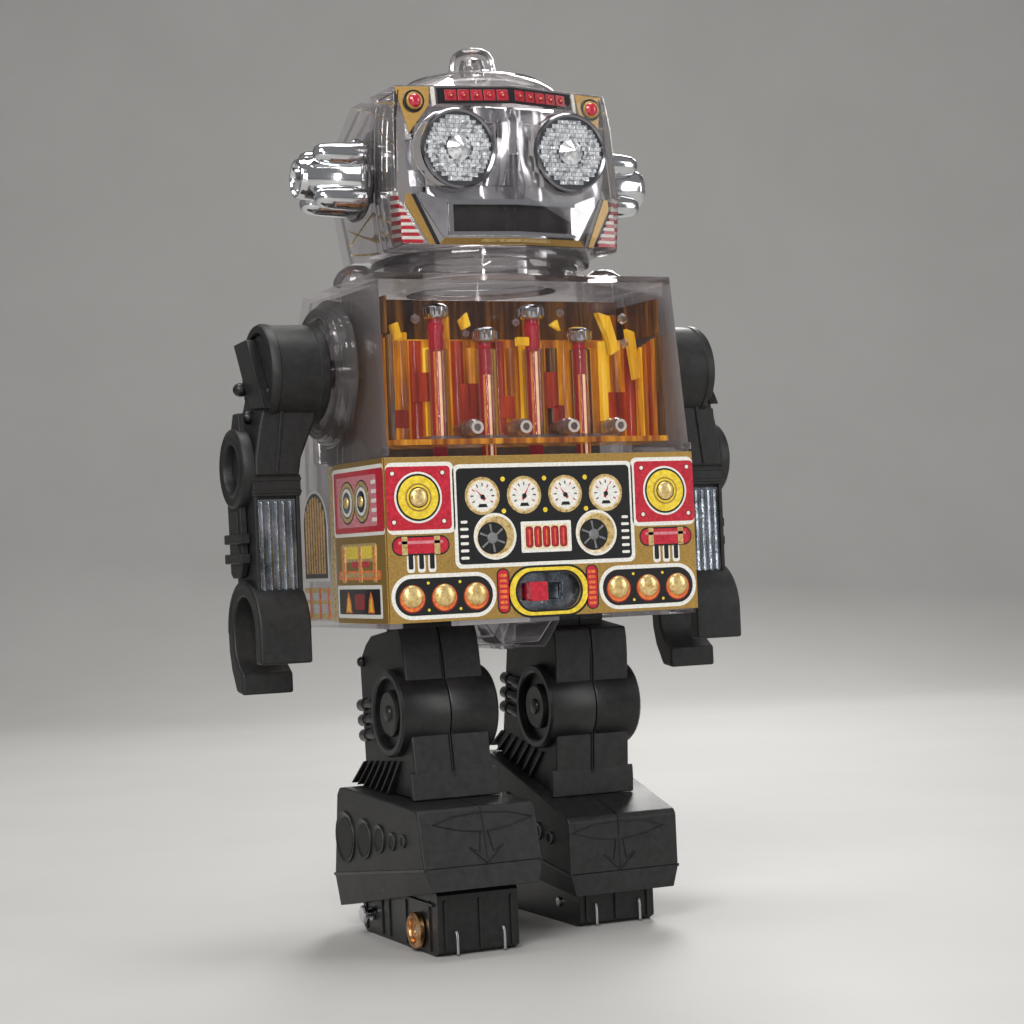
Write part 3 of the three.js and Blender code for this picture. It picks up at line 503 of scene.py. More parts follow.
def build_camera():
    """The photograph's camera, and the plain view transform."""
    turn, pitch, roll = (math.radians(each) for each in (CAMERA_TURN, CAMERA_PITCH, CAMERA_ROLL))
    right = Vector((math.cos(turn), -math.sin(turn), 0))
    ahead = Vector((math.sin(turn), math.cos(turn), 0))
    lens = bpy.data.cameras.new("photo_camera")
    lens.sensor_width = SENSOR_WIDTH
    lens.lens = FOCAL_LENGTH
    lens.clip_start = 0.02
    camera = bpy.data.objects.new("photo_camera", lens)
    place = right * CAMERA_RIGHT - ahead * CAMERA_BACK + Vector((0, 0, CAMERA_HEIGHT))
    camera.location = SHIFT @ place * MM
    look = (ahead * math.cos(pitch) + Vector((0, 0, math.sin(pitch)))).to_track_quat("-Z", "Y")
    camera.rotation_mode = "QUATERNION"
    camera.rotation_quaternion = look @ Matrix.Rotation(roll, 3, "Z").to_quaternion()
    bpy.context.scene.collection.objects.link(camera)
    bpy.context.scene.camera = camera
    bpy.context.scene.view_settings.view_transform = "Standard"


# ---- torso ----

def build_torso():
    """Clear body shell with its door, hopper, beads, shoulder domes and neck."""
    refined("torso_front_shell", "torso", "clear", 0.9, 3)
    refined("torso_rear_shell", "torso", "clear", 1.2, 3)
    refined("battery_door", "door", "clear_thick", 0.5)
    refined("crotch_hopper", "torso", "clear_thick", 0.6)
    high = node_box("torso_front_shell")[1]
    # A small bead at each lower corner, where the clear front meets its sides and the panel below.
    for side in SIDES.values():
        bead = bmesh.new()
        corners = [(side * 49.6, -41.6), (side * 51.9, -41.6), (side * 51.9, -43.6), (side * 49.6, -43.6)]
        add_prism(bead, corners, "z", 148.2, 150.4)
        finish_mesh(f"window_foot_{'left' if side > 0 else 'right'}", bead, "torso", "clear_thick", bevel=0.4)
    # Cast dome of clear plastic on each shoulder.
    for name, side in SIDES.items():
        dome = [(0, high.z + 0.4), (3.2, high.z - 0.1), (5.6, high.z - 1.9),
                (7.0, high.z - 4.3), (7.2, 203.2),
                (0, 203.2)]
        turned(f"{name}_shoulder_dome", dome, "z", (side * 43.2, -4.6), "torso", "clear_thick", 40)
    refined("neck_collar", "torso", "clear_thick", 0.4)
    rib = [(34.9, 208.6), (35.3, 209.3), (35.3, 210.6), (34.7, 211.5), (31.2, 211.6),
           (31.2, 208.7), (34.9, 208.6)]
    turned("neck_rim", rib, "z", (0, -3), "torso", "clear_thick", 96)
    ring = [(26.6, 202.2), (28.4, 202.2), (28.4, 204.2), (26.6, 204.2), (26.6, 202.2)]
    turned("neck_hole_ring", ring, "z", (0, -3), "torso", "frosted", 96)


def build_front_print():
    """Printed gold panel round the lower front: gauges, dials, a meter, lamps and pipes."""
    low = node_box("front_panel")[0]
    refined("front_panel", "torso", "gold", 0.25)
    art = Print("y", low.y, -1)
    art.shape(rounded(-30.2, 113.8, 30.2, 144.9, 2.2), "paper", 1)
    art.shape(rounded(-29.0, 115.0, 29.0, 143.7, 1.4), "ink", 2)
    for i in range(4):
        u = -20.7 + 13.8 * i
        art.dot(u, 135.3, 5.7, "gold_light", 3)
        art.dot(u, 135.3, 4.9, "cream", 4)
        art.dot(u, 135.3, 4.4, "paper", 5)
        for k in range(9):
            turn = math.radians(-30 + 30 * k)
            mark = [(u + r * math.cos(turn + w), 135.3 + r * math.sin(turn + w))
                    for r, w in ((3.9, -0.05), (3.9, 0.05), (2.9, 0.05), (2.9, -0.05))]
            art.shape(mark, "ink" if k % 3 else "red", 6)
        turn = math.radians((135, 62, 128, 70)[i])
        along, across = Vector((math.cos(turn), math.sin(turn))), Vector((-math.sin(turn), math.cos(turn)))
        hub = Vector((u, 135.0))
        art.shape([tuple(hub + along * 3.1), tuple(hub - along * 1.2 + across * 0.45),
                   tuple(hub - along * 1.2 - across * 0.45)],
                  "red", 7)
        art.dot(u, 135.0, 0.75, "ink", 8, 12)
        art.shape([(u - 1.6, 131.9), (u + 1.6, 131.9), (u + 1.1, 132.9), (u - 1.1, 132.9)], "ink", 6)
    for u in (-13.8, 0, 13.8):
        for v in (140.2, 130.6):
            art.dot(u, v, 0.75, "yellow", 3, 12)
    for side in (-1, 1):
        u = 17.0 * side
        art.dot(u, 123.1, 7.0, "paper", 3, 48)
        art.dot(u, 123.1, 6.3, "cream", 4, 48)
        art.dot(u + 0.6, 123.4, 5.6, "gold_light", 5, 40)
        art.dot(u - 1.0, 122.6, 4.8, "ink", 6, 40)
        for k in range(12):
            turn = math.radians(30 * k + 10)
            tick = [(u - 1 + r * math.cos(turn + w), 122.6 + r * math.sin(turn + w))
                    for r, w in ((4.3, -0.1), (4.3, 0.06), (1.6, 0.12), (1.6, -0.2))]
            art.shape(tick, "grey" if k % 2 else "black", 7)
        art.dome(u - 1.0, 122.6, 1.7, 0.5, "grey", 7)
        for k in range(6):
            v = 116.9 + 2.15 * k
            half = 1.35 if k < 5 else 1.1
            art.shape(rounded(27.0 * side - half, v - 0.42, 27.0 * side + half, v + 0.42, 0.4, 3), "paper", 3)
    art.shape(rounded(-8.4, 117.8, 8.4, 127.2, 0.4), "paper", 3)
    art.shape(rounded(-7.4, 118.8, 7.4, 126.2, 0.3), "cream", 4)
    for k in range(5):
        u = -5.7 + 2.85 * k
        art.shape(rounded(u - 1.25, 119.3, u + 1.25, 125.7, 0.9), "red_dark", 5)
        art.shape(rounded(u - 0.95, 119.7, u + 0.55, 125.3, 0.7), "red", 6)
        art.shape(rounded(u - 0.2, 120.2, u + 0.15, 124.8, 0.15, 2), "orange", 7)
    for side in (-1, 1):
        edge = side * 51.55
        inner = side * 30.9
        art.shape(rounded(min(inner, edge) - (1.2 if side > 0 else 0), 124.6,
                          max(inner, edge) + (1.2 if side < 0 else 0), 145.8, 2.0), "paper", 1)
        art.shape(rounded(min(inner, edge), 125.8, max(inner, edge), 144.6, 1.2), "red", 2)
        u, v = side * 41.4, 135.4
        art.dot(u, v, 7.6, "paper", 3, 48)
        art.dot(u, v, 7.0, "ink", 4, 48)
        art.dot(u, v, 6.4, "yellow", 5, 48)
        art.dot(u, v, 4.2, "gold", 6, 40)
        art.dot(u, v, 3.7, "yellow", 7, 40)
        art.dot(u, v, 3.1, "ink", 8, 32)
        art.dome(u, v, 2.8, 1.1, "gold_light", 8)
        for du in (-8.0, 8.0):
            for dv in (-7.2, 7.2):
                art.dot(u + du, v + dv, 0.95, "red_dark", 3, 14)
                art.dot(u + du, v + dv, 0.6, "paper", 4, 12)
        # Pipe fitting with three drop pipes.
        v = 121.2
        a, b = sorted((side * 32.3, side * 49.9))
        art.shape(rounded(a - 0.4, v - 2.9, b + 0.4, v + 2.9, 2.8), "ink", 1)
        art.shape(rounded(a, v - 2.4, b, v + 2.4, 2.3), "red", 2)
        art.shape(rounded(a + 1.6, v + 0.5, b - 1.6, v + 1.4, 0.4), "pink", 3)
        for u in (a + 3.6, b - 3.6):
            art.shape(rounded(u - 0.9, v - 2.7, u + 0.9, v + 2.7, 0.2), "gold_light", 3)
        for k in (-1, 0, 1):
            u = (a + b) / 2 + 3.4 * k
            art.shape(rounded(u - 1.25, 113.2, u + 1.25, v - 2.6, 0.9), "paper", 1)
            art.shape(rounded(u - 0.75, 114.2, u + 0.75, v - 2.4, 0.5), "ink", 2)
        # Row of three lamps.
        u, v = side * 34.2, 106.0
        art.shape(rounded(u - 16.9, v - 6.7, u + 16.9, v + 6.7, 6.6, 10), "paper", 1)
        art.shape(rounded(u - 15.7, v - 5.5, u + 15.7, v + 5.5, 5.4, 10), "ink", 2)
        for k in (-1, 0, 1):
            art.dot(u + 10.3 * k, v - 0.5, 4.2, "red_dark", 3)
            art.dot(u + 10.3 * k, v - 0.4, 3.9, "orange", 4)
            art.dome(u + 10.3 * k, v + 0.2, 3.4, 1.5, "gold_light", 4)
        for k in (-1, 1):
            for dv in (-4.0, 4.0):
                art.dot(u + 5.1 * k, v + dv, 0.45, "yellow", 3, 10)
        a = side * 14.9
        art.shape(rounded(a - 2.1, 99.8, a + 2.1, 113.4, 1.9), "ink", 1)
        art.shape(rounded(a - 1.7, 100.2, a + 1.7, 113.0, 1.5), "red", 2)
        for k in range(7):
            art.shape(rounded(a - 1.2, 101.2 + 1.6 * k, a + 1.2, 102.1 + 1.6 * k, 0.4, 3), "orange", 3)
    # Ring round the switch opening.
    center_u, center_v = 0.3, 106.0
    inner = rounded(center_u - 10.6, center_v - 5.6, center_u + 10.6, center_v + 5.6, 5.5, 10)
    for grow, look, level in ((0.7, "ink", 1), (0, "yellow", 2)):
        ring_outline(art, rounded(center_u - 13.2 - grow, center_v - 7.2 - grow, center_u + 13.2 + grow,
                                  center_v + 7.2 + grow,
                                  7.1 + grow, 10), inner, look, level)
    ring_outline(art, rounded(center_u - 11.3, center_v - 6.2, center_u + 11.3, center_v + 6.2, 6.1, 10),
                 inner, "ink", 3)
    art.done("front_artwork", "torso")
    refined("switch_body", "torso", "foil", 0.3)
    refined("switch_knob", "knob", "red", 0.5)


def ring_outline(art, outer, inner, look, level):
    """A flat ring between two outlines of as many points each."""
    if look not in art.looks:
        art.looks.append(look)
    index = art.looks.index(look)
    top = art.face + art.outward * LAYER * level
    rows = [[art.mesh.verts.new(place_across(art.axis, u, v, at)) for u, v in line]
            for line, at in ((outer, art.face), (outer, top), (inner, top), (inner, art.face))]
    count = len(outer)
    for one, two in zip(rows, rows[1:]):
        for i in range(count):
            j = (i + 1) % count
            art.mesh.faces.new([one[i], one[j], two[j], two[i]]).material_index = index


def build_side_print(name, side):
    """Printed sheet on one side of the body."""
    low, high = node_box(f"{name}_side_panel")
    refined(f"{name}_side_panel", "torso", "gold", 0.12)
    face = high.x if side > 0 else low.x
    art = Print("x", face, side)
    art.shape(rounded(low.y, 124.8, -0.4, 145.8, 1.2), "paper", 1)
    art.shape(rounded(low.y, 125.9, -1.6, 144.6, 0.8), "red", 2)
    art.shape(rounded(-37.5, 127.6, -4.0, 143.0, 0.8), "pink", 3)
    for y in (-13.2, -25.6):
        art.dot(y, 135.2, 6.6, "ink", 4)
        art.dot(y, 135.2, 6.1, "gold_light", 5)
        art.dot(y, 135.2, 4.9, "grey", 6)
        art.dot(y, 135.2, 4.3, "paper", 7)
        art.dot(y, 135.2, 3.3, "foil", 8)
        art.dome(y, 135.2, 1.7, 0.8, "gold_light", 8)
    for k in range(5):
        art.shape(rounded(-37.4, 128.9 + 2.8 * k, -33.6, 130.1 + 2.8 * k, 0.5, 3), "paper", 4)
    # Vessel and pipes on the gold ground.
    art.shape(rounded(-36, 117.0, -6, 122.6, 1.4), "gold_light", 1)
    art.shape(rounded(-33, 118.0, -10, 121.8, 1.0), "yellow", 2)
    art.shape(rounded(-29, 115.4, -15, 117.2, 0.6), "red", 2)
    art.shape(rounded(-39, 111.6, -3, 114.4, 1.2), "orange", 1)
    art.shape(rounded(-37, 112.4, -5, 113.7, 0.6), "gold_light", 2)
    for y in (-34, -22, -8):
        art.shape(rounded(y - 1.4, 110.8, y + 1.4, 122.0, 0.5), "gold_light", 3)
        art.shape(rounded(y - 0.5, 111.2, y + 0.5, 121.6, 0.2), "orange", 4)
    art.shape(rounded(-39.0, 100.0, -1.6, 110.0, 0.6), "paper", 1)
    art.shape(rounded(-37.6, 101.2, -3.0, 108.8, 0.4), "ink", 2)
    for y in (-30, -11):
        art.shape([(y - 2.6, 101.6), (y + 2.6, 101.6), (y + 1.6, 105.4), (y, 108.0),
                   (y - 1.6, 105.4)], "orange", 3)
        art.shape([(y - 1.2, 102.0), (y + 1.2, 102.0), (y + 0.7, 104.6), (y, 106.2),
                   (y - 0.7, 104.6)], "yellow", 4)
    art.shape(rounded(-24.6, 102.6, -16.4, 107.4, 0.6), "red_dark", 3)
    art.done(f"{name}_side_artwork", "torso")

    # Sheet further back, seen through the clear wall: dark window with gold bars and gold pipework.
    inner = Print("x", side * 51.25, side)
    inner.shape(rounded(2.1, 98.6, 5.0, 147.0, 0.3), "gold_light", 1)
    window = [(9, 112.4), (30, 112.4), (30, 129)] + arc(19.5, 129, 10.5, 0, 180, 16)[1:-1] + [(9, 129)]
    grow = [(8, 111.4), (31, 111.4), (31, 129)] + arc(19.5, 129, 11.5, 0, 180, 16)[1:-1] + [(8, 129)]
    inner.shape(grow, "paper", 1)
    inner.shape(window, "ink", 2)
    for k in range(8):
        y = 11.2 + 2.35 * k
        reach = math.sqrt(max(10.0 ** 2 - (y - 19.5) ** 2, 1))
        inner.shape(rounded(y - 0.55, 113.8, y + 0.55, 128.4 + reach, 0.2, 2), "gold_light", 3)
        inner.shape(rounded(y + 0.65, 113.8, y + 0.95, 128.0 + reach, 0.1, 2), "orange", 3)
    for z0, z1 in ((99.4, 101.2), (104.2, 105.4), (107.8, 109.4)):
        inner.shape(rounded(6.4, z0, 31.6, z1, 0.5), "gold_light", 1)
    for y in (9, 17, 26):
        inner.shape(rounded(y - 0.9, 99.4, y + 0.9, 109.4, 0.3), "orange", 2)
    inner.done(f"{name}_rear_side_artwork", "torso")


# ---- engine behind the chest window ----

PISTON_Y = -22.5
PISTON_X = (-24.6, -8.2, 8.2, 24.6)


def pierced_slab(target, x, y, z, index):
    """A flat slab with an opening round each piston rod."""
    near, far = PISTON_Y - 2.8, PISTON_Y + 2.8
    add_box(target, x, (y[0], near), z, index)
    add_box(target, x, (far, y[1]), z, index)
    edges = [x[0]] + [u + s * 2.8 for u in PISTON_X for s in (-1, 1)] + [x[1]]
    for k in range(0, len(edges), 2):
        add_box(target, (edges[k], edges[k + 1]), (near, far), z, index)


def build_engine():
    low, high = node_box("engine_block")
    face = -18.3
    flutes = bmesh.new()
    looks = ["amber", "amber_dark", "amber_bright", "amber_red"]
    pattern = (1, 0, 0, 3, 2, 0, 3, 0, 2, 3, 0, 2, 0, 1, 0, 1, 0, 2, 0, 3)
    width = (high.x - low.x) / len(pattern)
    for i, tone in enumerate(pattern):
        u = low.x + width * (i + 0.5)
        outline = arc(u, face, width * 0.49, 180, 360, 8) + [(u + width * 0.49, face + 2),
                                                             (u - width * 0.49, face + 2)]
        add_prism(flutes, outline, "z", 153.2, 184.4 - (2.2 if i % 3 == 1 else 0), tone)
    add_box(flutes, (low.x, high.x), (face - 0.9, -8.6), (153.1, 184.9), 0)
    # Ends that come forward to the window, ribbed like the wall.
    for side in SIDES.values():
        for k in range(7):
            y = -37.6 + 2.8 * k
            tone = (1, 0, 3, 0, 2, 0, 1)[k]
            x = side * 46.4
            top = 184.4 - 0.6 * k
            add_prism(flutes, [(x, y), (x, y + 2.7), (x - side * 1.7, y + 2.3), (x - side * 1.7, y + 0.4)],
                      "z", 152.9, top, tone)
    pierced_slab(flutes, (low.x, high.x), (-38.6, face + 1), (151.2, 152.9), 0)
    finish_mesh("engine_block_fine", flutes, "torso", looks, "engine_block", 0.15, 25)

    # Back wall and side strips in dark amber above the flutes: painted shade for the dark band at the top of
    # the engine.
    back = bmesh.new()
    add_box(back, (-46.5, 46.5), (-8.0, -6.4), (184.6, 198.6), 0)
    for side in SIDES.values():
        add_prism(back, [(side * 46.6, -8), (side * 46.6, -36), (side * 45.6, -36), (side * 45.6, -8)],
                  "z", 184.9, 196.4)
    for u, w, z0, z1, tone in ((-40, 5, 185, 191, 1), (-31, 3, 184.8, 188, 2), (-17, 4, 185, 193, 1),
                               (-3, 6, 185, 188, 2),
                               (14, 5, 185, 192, 1), (30, 4, 185, 190, 2), (42, 4, 185, 194, 1)):
        add_box(back, (u - w / 2, u + w / 2), (-11.5, -8.2), (z0, z1), tone)
    finish_mesh("engine_back_wall", back, "torso", ["amber_dark", "amber", "amber_bright"], bevel=0.4)

    red = bmesh.new()
    for u, w, z0, z1 in ((-28.0, 9, 165.5, 174.5), (-13.2, 8, 158, 171), (-0.5, 5, 160, 167),
                         (14.2, 6, 163, 174.5),
                         (17.2, 4, 157, 164), (38, 6, 157, 168), (-37, 6, 157.5, 163)):
        add_box(red, (u - w / 2, u + w / 2), (-21.4, -20.9), (z0, z1))
    finish_mesh("engine_port_plates", red, "torso", "amber_red", bevel=0.2)

    yellow = bmesh.new()
    add_prism(yellow, [(27.2, 192.4), (31.6, 191.2), (34.6, 180.6), (31.6, 178.8), (30.4, 185)],
              "y", -31.2, -27.8)
    add_box(yellow, (-0.6, 3.6), (-30.4, -28.2), (181.8, 184.6))
    add_prism(yellow, [(-18.4, 190), (-15.6, 192.6), (-14.4, 188.4), (-17.2, 187)], "y", -27, -25)
    add_prism(yellow, [(38.6, 187.6), (41.6, 186.6), (43.4, 172), (40.8, 171.2)], "y", -28.4, -26)
    add_prism(yellow, [(-41.4, 188.4), (-38.8, 189.4), (-37.6, 184.6), (-40.4, 183.4)], "y", -27.6, -25.6)
    add_prism(yellow, [(12.6, 188.8), (15.2, 190.6), (16.4, 186.8)], "y", -27, -25)
    finish_mesh("valve_gear_yellow", yellow, "torso", "amber_bright", bevel=0.35)
    glints = bmesh.new()
    for u, z, r, y in ((-33.4, 190.2, 1.6, -28), (16.2, 192.6, 1.5, -27), (19.2, 184.4, 1.3, -30),
                       (37.0, 190.6, 1.9, -29),
                       (36.6, 182.8, 1.5, -30.6), (-17.8, 185.6, 1.2, -30), (1.2, 189.6, 1.3, -26)):
        bmesh.ops.create_icosphere(glints, subdivisions=1, radius=r, matrix=Matrix.Translation((u, y, z)))
    finish_mesh("valve_gear_clear", glints, "torso", "frosted", angle=5)

    base = bmesh.new()
    for i, u in enumerate(PISTON_X):
        v = u + 8.2
        for radius, y0, y1, tone in ((2.4, -33.0, -19.5, 0), (2.75, -31.8, -30.4, 0),
                                     (2.75, -27.6, -26.4, 0)):
            add_turned(base, [(0, y0), (radius - 0.4, y0), (radius, y0 + 0.4), (radius, y1), (0, y1)], "y",
                       (v, 156.6), 24, tone)
        add_turned(base, [(1.2, -33.3), (2.0, -33.3), (2.0, -32.9), (1.2, -32.9), (1.2, -33.3)], "y",
                   (v, 156.6), 24, 1)
        outer = [(2.72, 153.4), (3.4, 153.4), (3.4, 181.2), (3.1, 181.5), (2.72, 181.5), (2.72, 153.4)]
        add_turned(base, outer, "z", (u, PISTON_Y), 40, 2)
    pierced_slab(base, (PISTON_X[0] - 5, PISTON_X[3] + 11.2), (-26.9, -18.9), (153.3, 154.6), 0)
    finish_mesh("cylinder_tubes_fine", base, "torso", ["frosted", "paper", "clear_tube"],
                "cylinder_tubes", angle=40)

    for i, u in enumerate(PISTON_X):
        low, high = node_box(f"piston_{i + 1}")
        top = high.z
        body = f"piston_{i + 1}_body"
        rod = bmesh.new()
        at = (u, PISTON_Y)
        add_turned(rod, [(0, low.z), (2.2, low.z), (2.3, low.z + 0.4), (2.3, top - 9), (2.6, top - 8.2),
                         (2.6, top - 6.6),
                         (2.1, top - 6), (2.1, top - 4.4), (0, top - 4.4)], "z", at, 32, 0)
        add_turned(rod, [(0, top - 4.7), (3.2, top - 4.7), (3.5, top - 4.4), (3.9, top - 3.7),
                         (3.9, top - 1.1), (3.5, top - 0.6),
                         (2.8, top - 0.1), (1.2, top), (0, top)], "z", at, 40, 1)
        for k in range(16):
            turn = math.tau * k / 16
            place = Vector((u + 3.85 * math.cos(turn), PISTON_Y + 3.85 * math.sin(turn)))
            add_turned(rod, [(0, top - 3.7), (0.32, top - 3.6), (0.32, top - 1.2), (0, top - 1.1)], "z",
                       tuple(place), 6, 1)
        # Painted highlight: bright glowing stripes with warm orange edges on the front of the rod stand in
        # for the light streak seen inside the tube.
        stripe_top = 180.6 - (0 if i % 2 == 0 else 7.2)
        for dx, front, look in ((-1.3, 1.98, 3), (0.0, 2.5, 2), (1.3, 1.98, 3)):
            add_box(rod, (u + dx - 0.4, u + dx + 0.4), (PISTON_Y - front, PISTON_Y - 1.0),
                    (low.z + 4, stripe_top), look)
        finish_mesh(f"piston_{i + 1}_fine", rod, body, ["ruby", "chrome", "rod_painted_highlight", "rod_warm"],
                    f"piston_{i + 1}", angle=35)


def build_insides():
    """Drive and power pieces behind the panels."""
    for cad_node, body, look in (
        ("motor", "torso", "steel"), ("motor_pinion", "pinion", "brass"),
        ("camshaft", "camshaft_body", "nylon"),
        ("crank_gear", "crank", "nylon"), ("gearbox_plate_left", "torso", "grey"),
        ("gearbox_plate_right", "torso", "grey"),
        ("hip_shaft", "torso", "steel"), ("battery_tray", "torso", "grey"), ("lamp_holder", "torso", "grey"),
        ("lamp", "torso", "lamp"),
    ):
        refined(cad_node, body, look, 0.12)
    for name in SIDES:
        low, high = node_box(f"battery_{name}")
        at = ((low.x + high.x) / 2, (low.y + high.y) / 2)
        cell = bmesh.new()
        r = (high.x - low.x) / 2
        add_turned(cell, [(0, low.z), (r - 1.2, low.z), (r - 0.8, low.z + 0.3), (r - 0.3, low.z + 1.2),
                          (r, low.z + 1.6)], "z", at, 64, 1)
        add_turned(cell, [(r, low.z + 1.6), (r, high.z - 15)], "z", at, 64, 0)
        add_turned(cell, [(r, high.z - 15), (r, high.z - 4)], "z", at, 64, 2)
        add_turned(cell, [(r, high.z - 4), (r - 0.4, high.z - 3.2), (r - 1.4, high.z - 2.2),
                          (3.2, high.z - 2), (3.1, high.z - 0.3),
                          (2.6, high.z), (0, high.z)], "z", at, 64, 1)
        finish_mesh(f"battery_{name}_fine", cell, "torso", ["cell", "steel", "black"], f"battery_{name}")


# ---- head ----

def head_face_y(x, z, inset=0.0):
    """How far forward the head's wedge front is at (x, z)."""
    rows = ((211.7, -33.8, -28.6, 36.6), (229, -34.8, -27.4, 38.6), (252, -34.8, -25.4, 37.6),
            (262.4, -32.6, -24, 36.4))
    for below, above in zip(rows, rows[1:]):
        if z <= above[0] or above is rows[-1]:
            t = (z - below[0]) / (above[0] - below[0])
            nose, corner, half = (below[k] + (above[k] - below[k]) * t for k in (1, 2, 3))
            return nose + (corner - nose) * min(abs(x) / half, 1) + inset


def skin(target, outline, inset, thick, index=0):
    """Adds a thin patch on the head's front; the outline may cross the nose ridge."""
    front = [target.verts.new((x, head_face_y(x, z, inset), z)) for x, z in outline]
    rear = [target.verts.new((x, head_face_y(x, z, inset + thick), z)) for x, z in outline]
    count = len(outline)
    faces = [target.faces.new(front), target.faces.new(rear[::-1])]
    faces += [target.faces.new([front[i], rear[i], rear[(i + 1) % count], front[(i + 1) % count]])
              for i in range(count)]
    for face in faces:
        face.material_index = index


def build_head():
    """Clear head shell with its dome, plated face, printed trim, eyes and ears."""
def build_head():
    refined("head_front_shell", "torso", "clear", 0.8, 3)
    refined("head_rear_shell", "torso", "clear", 1.6, 3)
    low, high = node_box("dome_cap")
    rim = low.z + 3.3
    centre = (0, -3)
    dome = [(0, low.z + 0.2), (3.5, low.z + 0.2), (3.6, rim), (25.9, rim), (26.5, rim + 0.5),
            (26.5, rim + 1.7),
            (26.0, rim + 2.3), (22.5, rim + 4.6), (17.5, rim + 6.6), (12.5, rim + 7.9), (9.4, rim + 8.6),
            (8.0, rim + 9.2), (7.5, rim + 10.6), (7.2, rim + 12.4), (6.9, rim + 14.2), (6.0, rim + 15.8),
            (4.2, high.z - 0.4), (2.2, high.z), (0, high.z)]
    turned("dome_cap_fine", dome, "z", centre, "torso", "clear", 96, replaces="dome_cap")
    band = [(20.2, rim + 5.9), (21.2, rim + 5.8), (21.0, rim + 5.1), (20.0, rim + 5.3), (20.2, rim + 5.9)]
    turned("dome_band", band, "z", centre, "torso", "clear_thick", 96)
    knob = [(0, rim + 8.2), (3.6, rim + 8.6), (4.2, rim + 11), (3.4, rim + 13.6), (0, rim + 14.8)]
    turned("dome_inner_knob", knob, "z", centre, "torso", "clear_thick", 40)

    # Chrome face: brow, cheeks and a sloped surround for each eye.
    face = bmesh.new()
    for side in (-1, 1):
        for k in range(20):
            u0, u1 = side * k * 1.62, side * (k + 1) * 1.62
            for z0, z1 in ((226.4, 231), (231, 236), (236, 241), (241, 246), (246, 251), (251, 255.6)):
                mid = Vector(((u0 + u1) / 2 - side * 19, (z0 + z1) / 2 - 242))
                if mid.length < 12.2:
                    continue
                ripple = math.sin(k * 0.9 + z0 * 0.25)
                dip = 2.4 + 1.4 * math.exp(-((mid.length - 12.5) / 5) ** 2) + 1.2 * ripple
                corners = [(u0, z0), (u1, z0), (u1, z1), (u0, z1)]
                made = [face.verts.new((x, head_face_y(x, z, dip), z)) for x, z in corners]
                face.faces.new(made if side > 0 else made[::-1])
    bmesh.ops.remove_doubles(face, verts=face.verts, dist=0.9)
    for side in (-1, 1):
        cheek = ((20.8, 216), (22.6, 214.6), (29.8, 226.2), (29.8, 229.4), (20.8, 226.2))
        skin(face, [(side * a, b) for a, b in cheek], 1.8, 0.7)
    skin(face, [(-22.8, 225.6), (0, 225.6), (22.8, 225.6), (27, 231.2), (0, 231.2), (-27, 231.2)], 2.0, 0.7)
    finish_mesh("face_plate_fine", face, "torso", "plating", "face_plate", angle=60)

    trim = bmesh.new()
    skin(trim, [(-20.6, 216.6), (0, 216.6), (20.6, 216.6), (20.6, 225.6), (0, 225.6),
                (-20.6, 225.6)], 3.6, 0.6, 0)
    skin(trim, [(-20.6, 216.4), (0, 216.4), (20.6, 216.4), (20.6, 225.8), (0, 225.8),
                (-20.6, 225.8)], 6.4, 0.6, 8)
    for k in range(14):
        u = -19.5 + 3.0 * k
        skin(trim, [(u - 0.25, 217.2), (u + 0.25, 217.2), (u + 0.25, 225.0), (u - 0.25, 225.0)], 6.1, 0.3, 2)
    for a, b in ((-21.6, -20.0), (20.0, 21.6)):
        skin(trim, [(a, 216.2), (b, 216.2), (b, 226), (a, 226)], 1.2, 2.6, 1)
    skin(trim, [(-21.6, 225.2), (0, 225.2), (21.6, 225.2), (21.6, 226.8), (0, 226.8),
                (-21.6, 226.8)], 1.0, 2.2, 1)
    skin(trim, [(-21.6, 215.8), (0, 215.8), (21.6, 215.8), (21.6, 217.0), (0, 217.0),
                (-21.6, 217.0)], 1.2, 2.2, 1)
    skin(trim, [(-24.6, 212.9), (0, 212.9), (24.6, 212.9), (23.2, 215.0), (0, 215.0),
                (-23.2, 215.0)], 1.0, 0.8, 2)
    skin(trim, [(-12, 213.6), (0, 213.6), (12, 213.6), (11, 214.6), (0, 214.6), (-11, 214.6)], 0.7, 0.4, 3)
    for side in (-1, 1):
        for shift, look in ((0, 4), (1.5, 2)):
            skin(trim, [(side * (24.4 + shift), 213), (side * (26.4 + shift), 213),
                        (side * (33.4 + shift), 225.6), (side * (33.0 + shift), 228.6),
                        (side * (31.4 + shift), 228.6)], 1.3 - shift * 0.2, 0.5, look)
        for k in range(6):
            z = 213.4 + 2.1 * k
            inner = 29.6 + 0.56 * (z - 213.4)
            outline = [(side * inner, z), (side * 36.4, z), (side * 36.4, z + 1.05),
                       (side * (inner + 0.6), z + 1.05)]
            skin(trim, outline, 0.9, 0.5, 5)
            lift = [(a, b + 1.05) for a, b in outline]
            skin(trim, lift, 0.9, 0.5, 6)
        # Gold corner with its jewel.
        skin(trim, [(side * 35.4, 262.0), (side * 24.9, 262.0), (side * 25.6, 256),
                    (side * 32.2, 247.4)], 0.75, 0.4, 2)
        skin(trim, [(side * 24.6, 262.0), (side * 23.4, 262.0), (side * 23.4, 256.2),
                    (side * 24.6, 255.6)], 0.6, 0.5, 6)
        y = head_face_y(side * 30.2, 257.3)
        add_turned(trim, [(0, y + 0.9), (3.5, y + 0.9), (3.5, y - 0.1), (2.9, y - 0.25), (0, y - 0.25)], "y",
                   (side * 30.2, 257.3), 32, 4)
        add_turned(trim, [(0, y), (2.9, y), (2.6, y - 0.7), (2.3, y - 0.8), (0, y - 0.8)], "y",
                   (side * 30.2, 257.3), 32, 2)
        add_turned(trim, [(2.1, y), (2.1, y - 0.9), (1.5, y - 1.5), (0.7, y - 1.8), (0, y - 1.85)], "y",
                   (side * 30.2, 257.3), 32, 7)
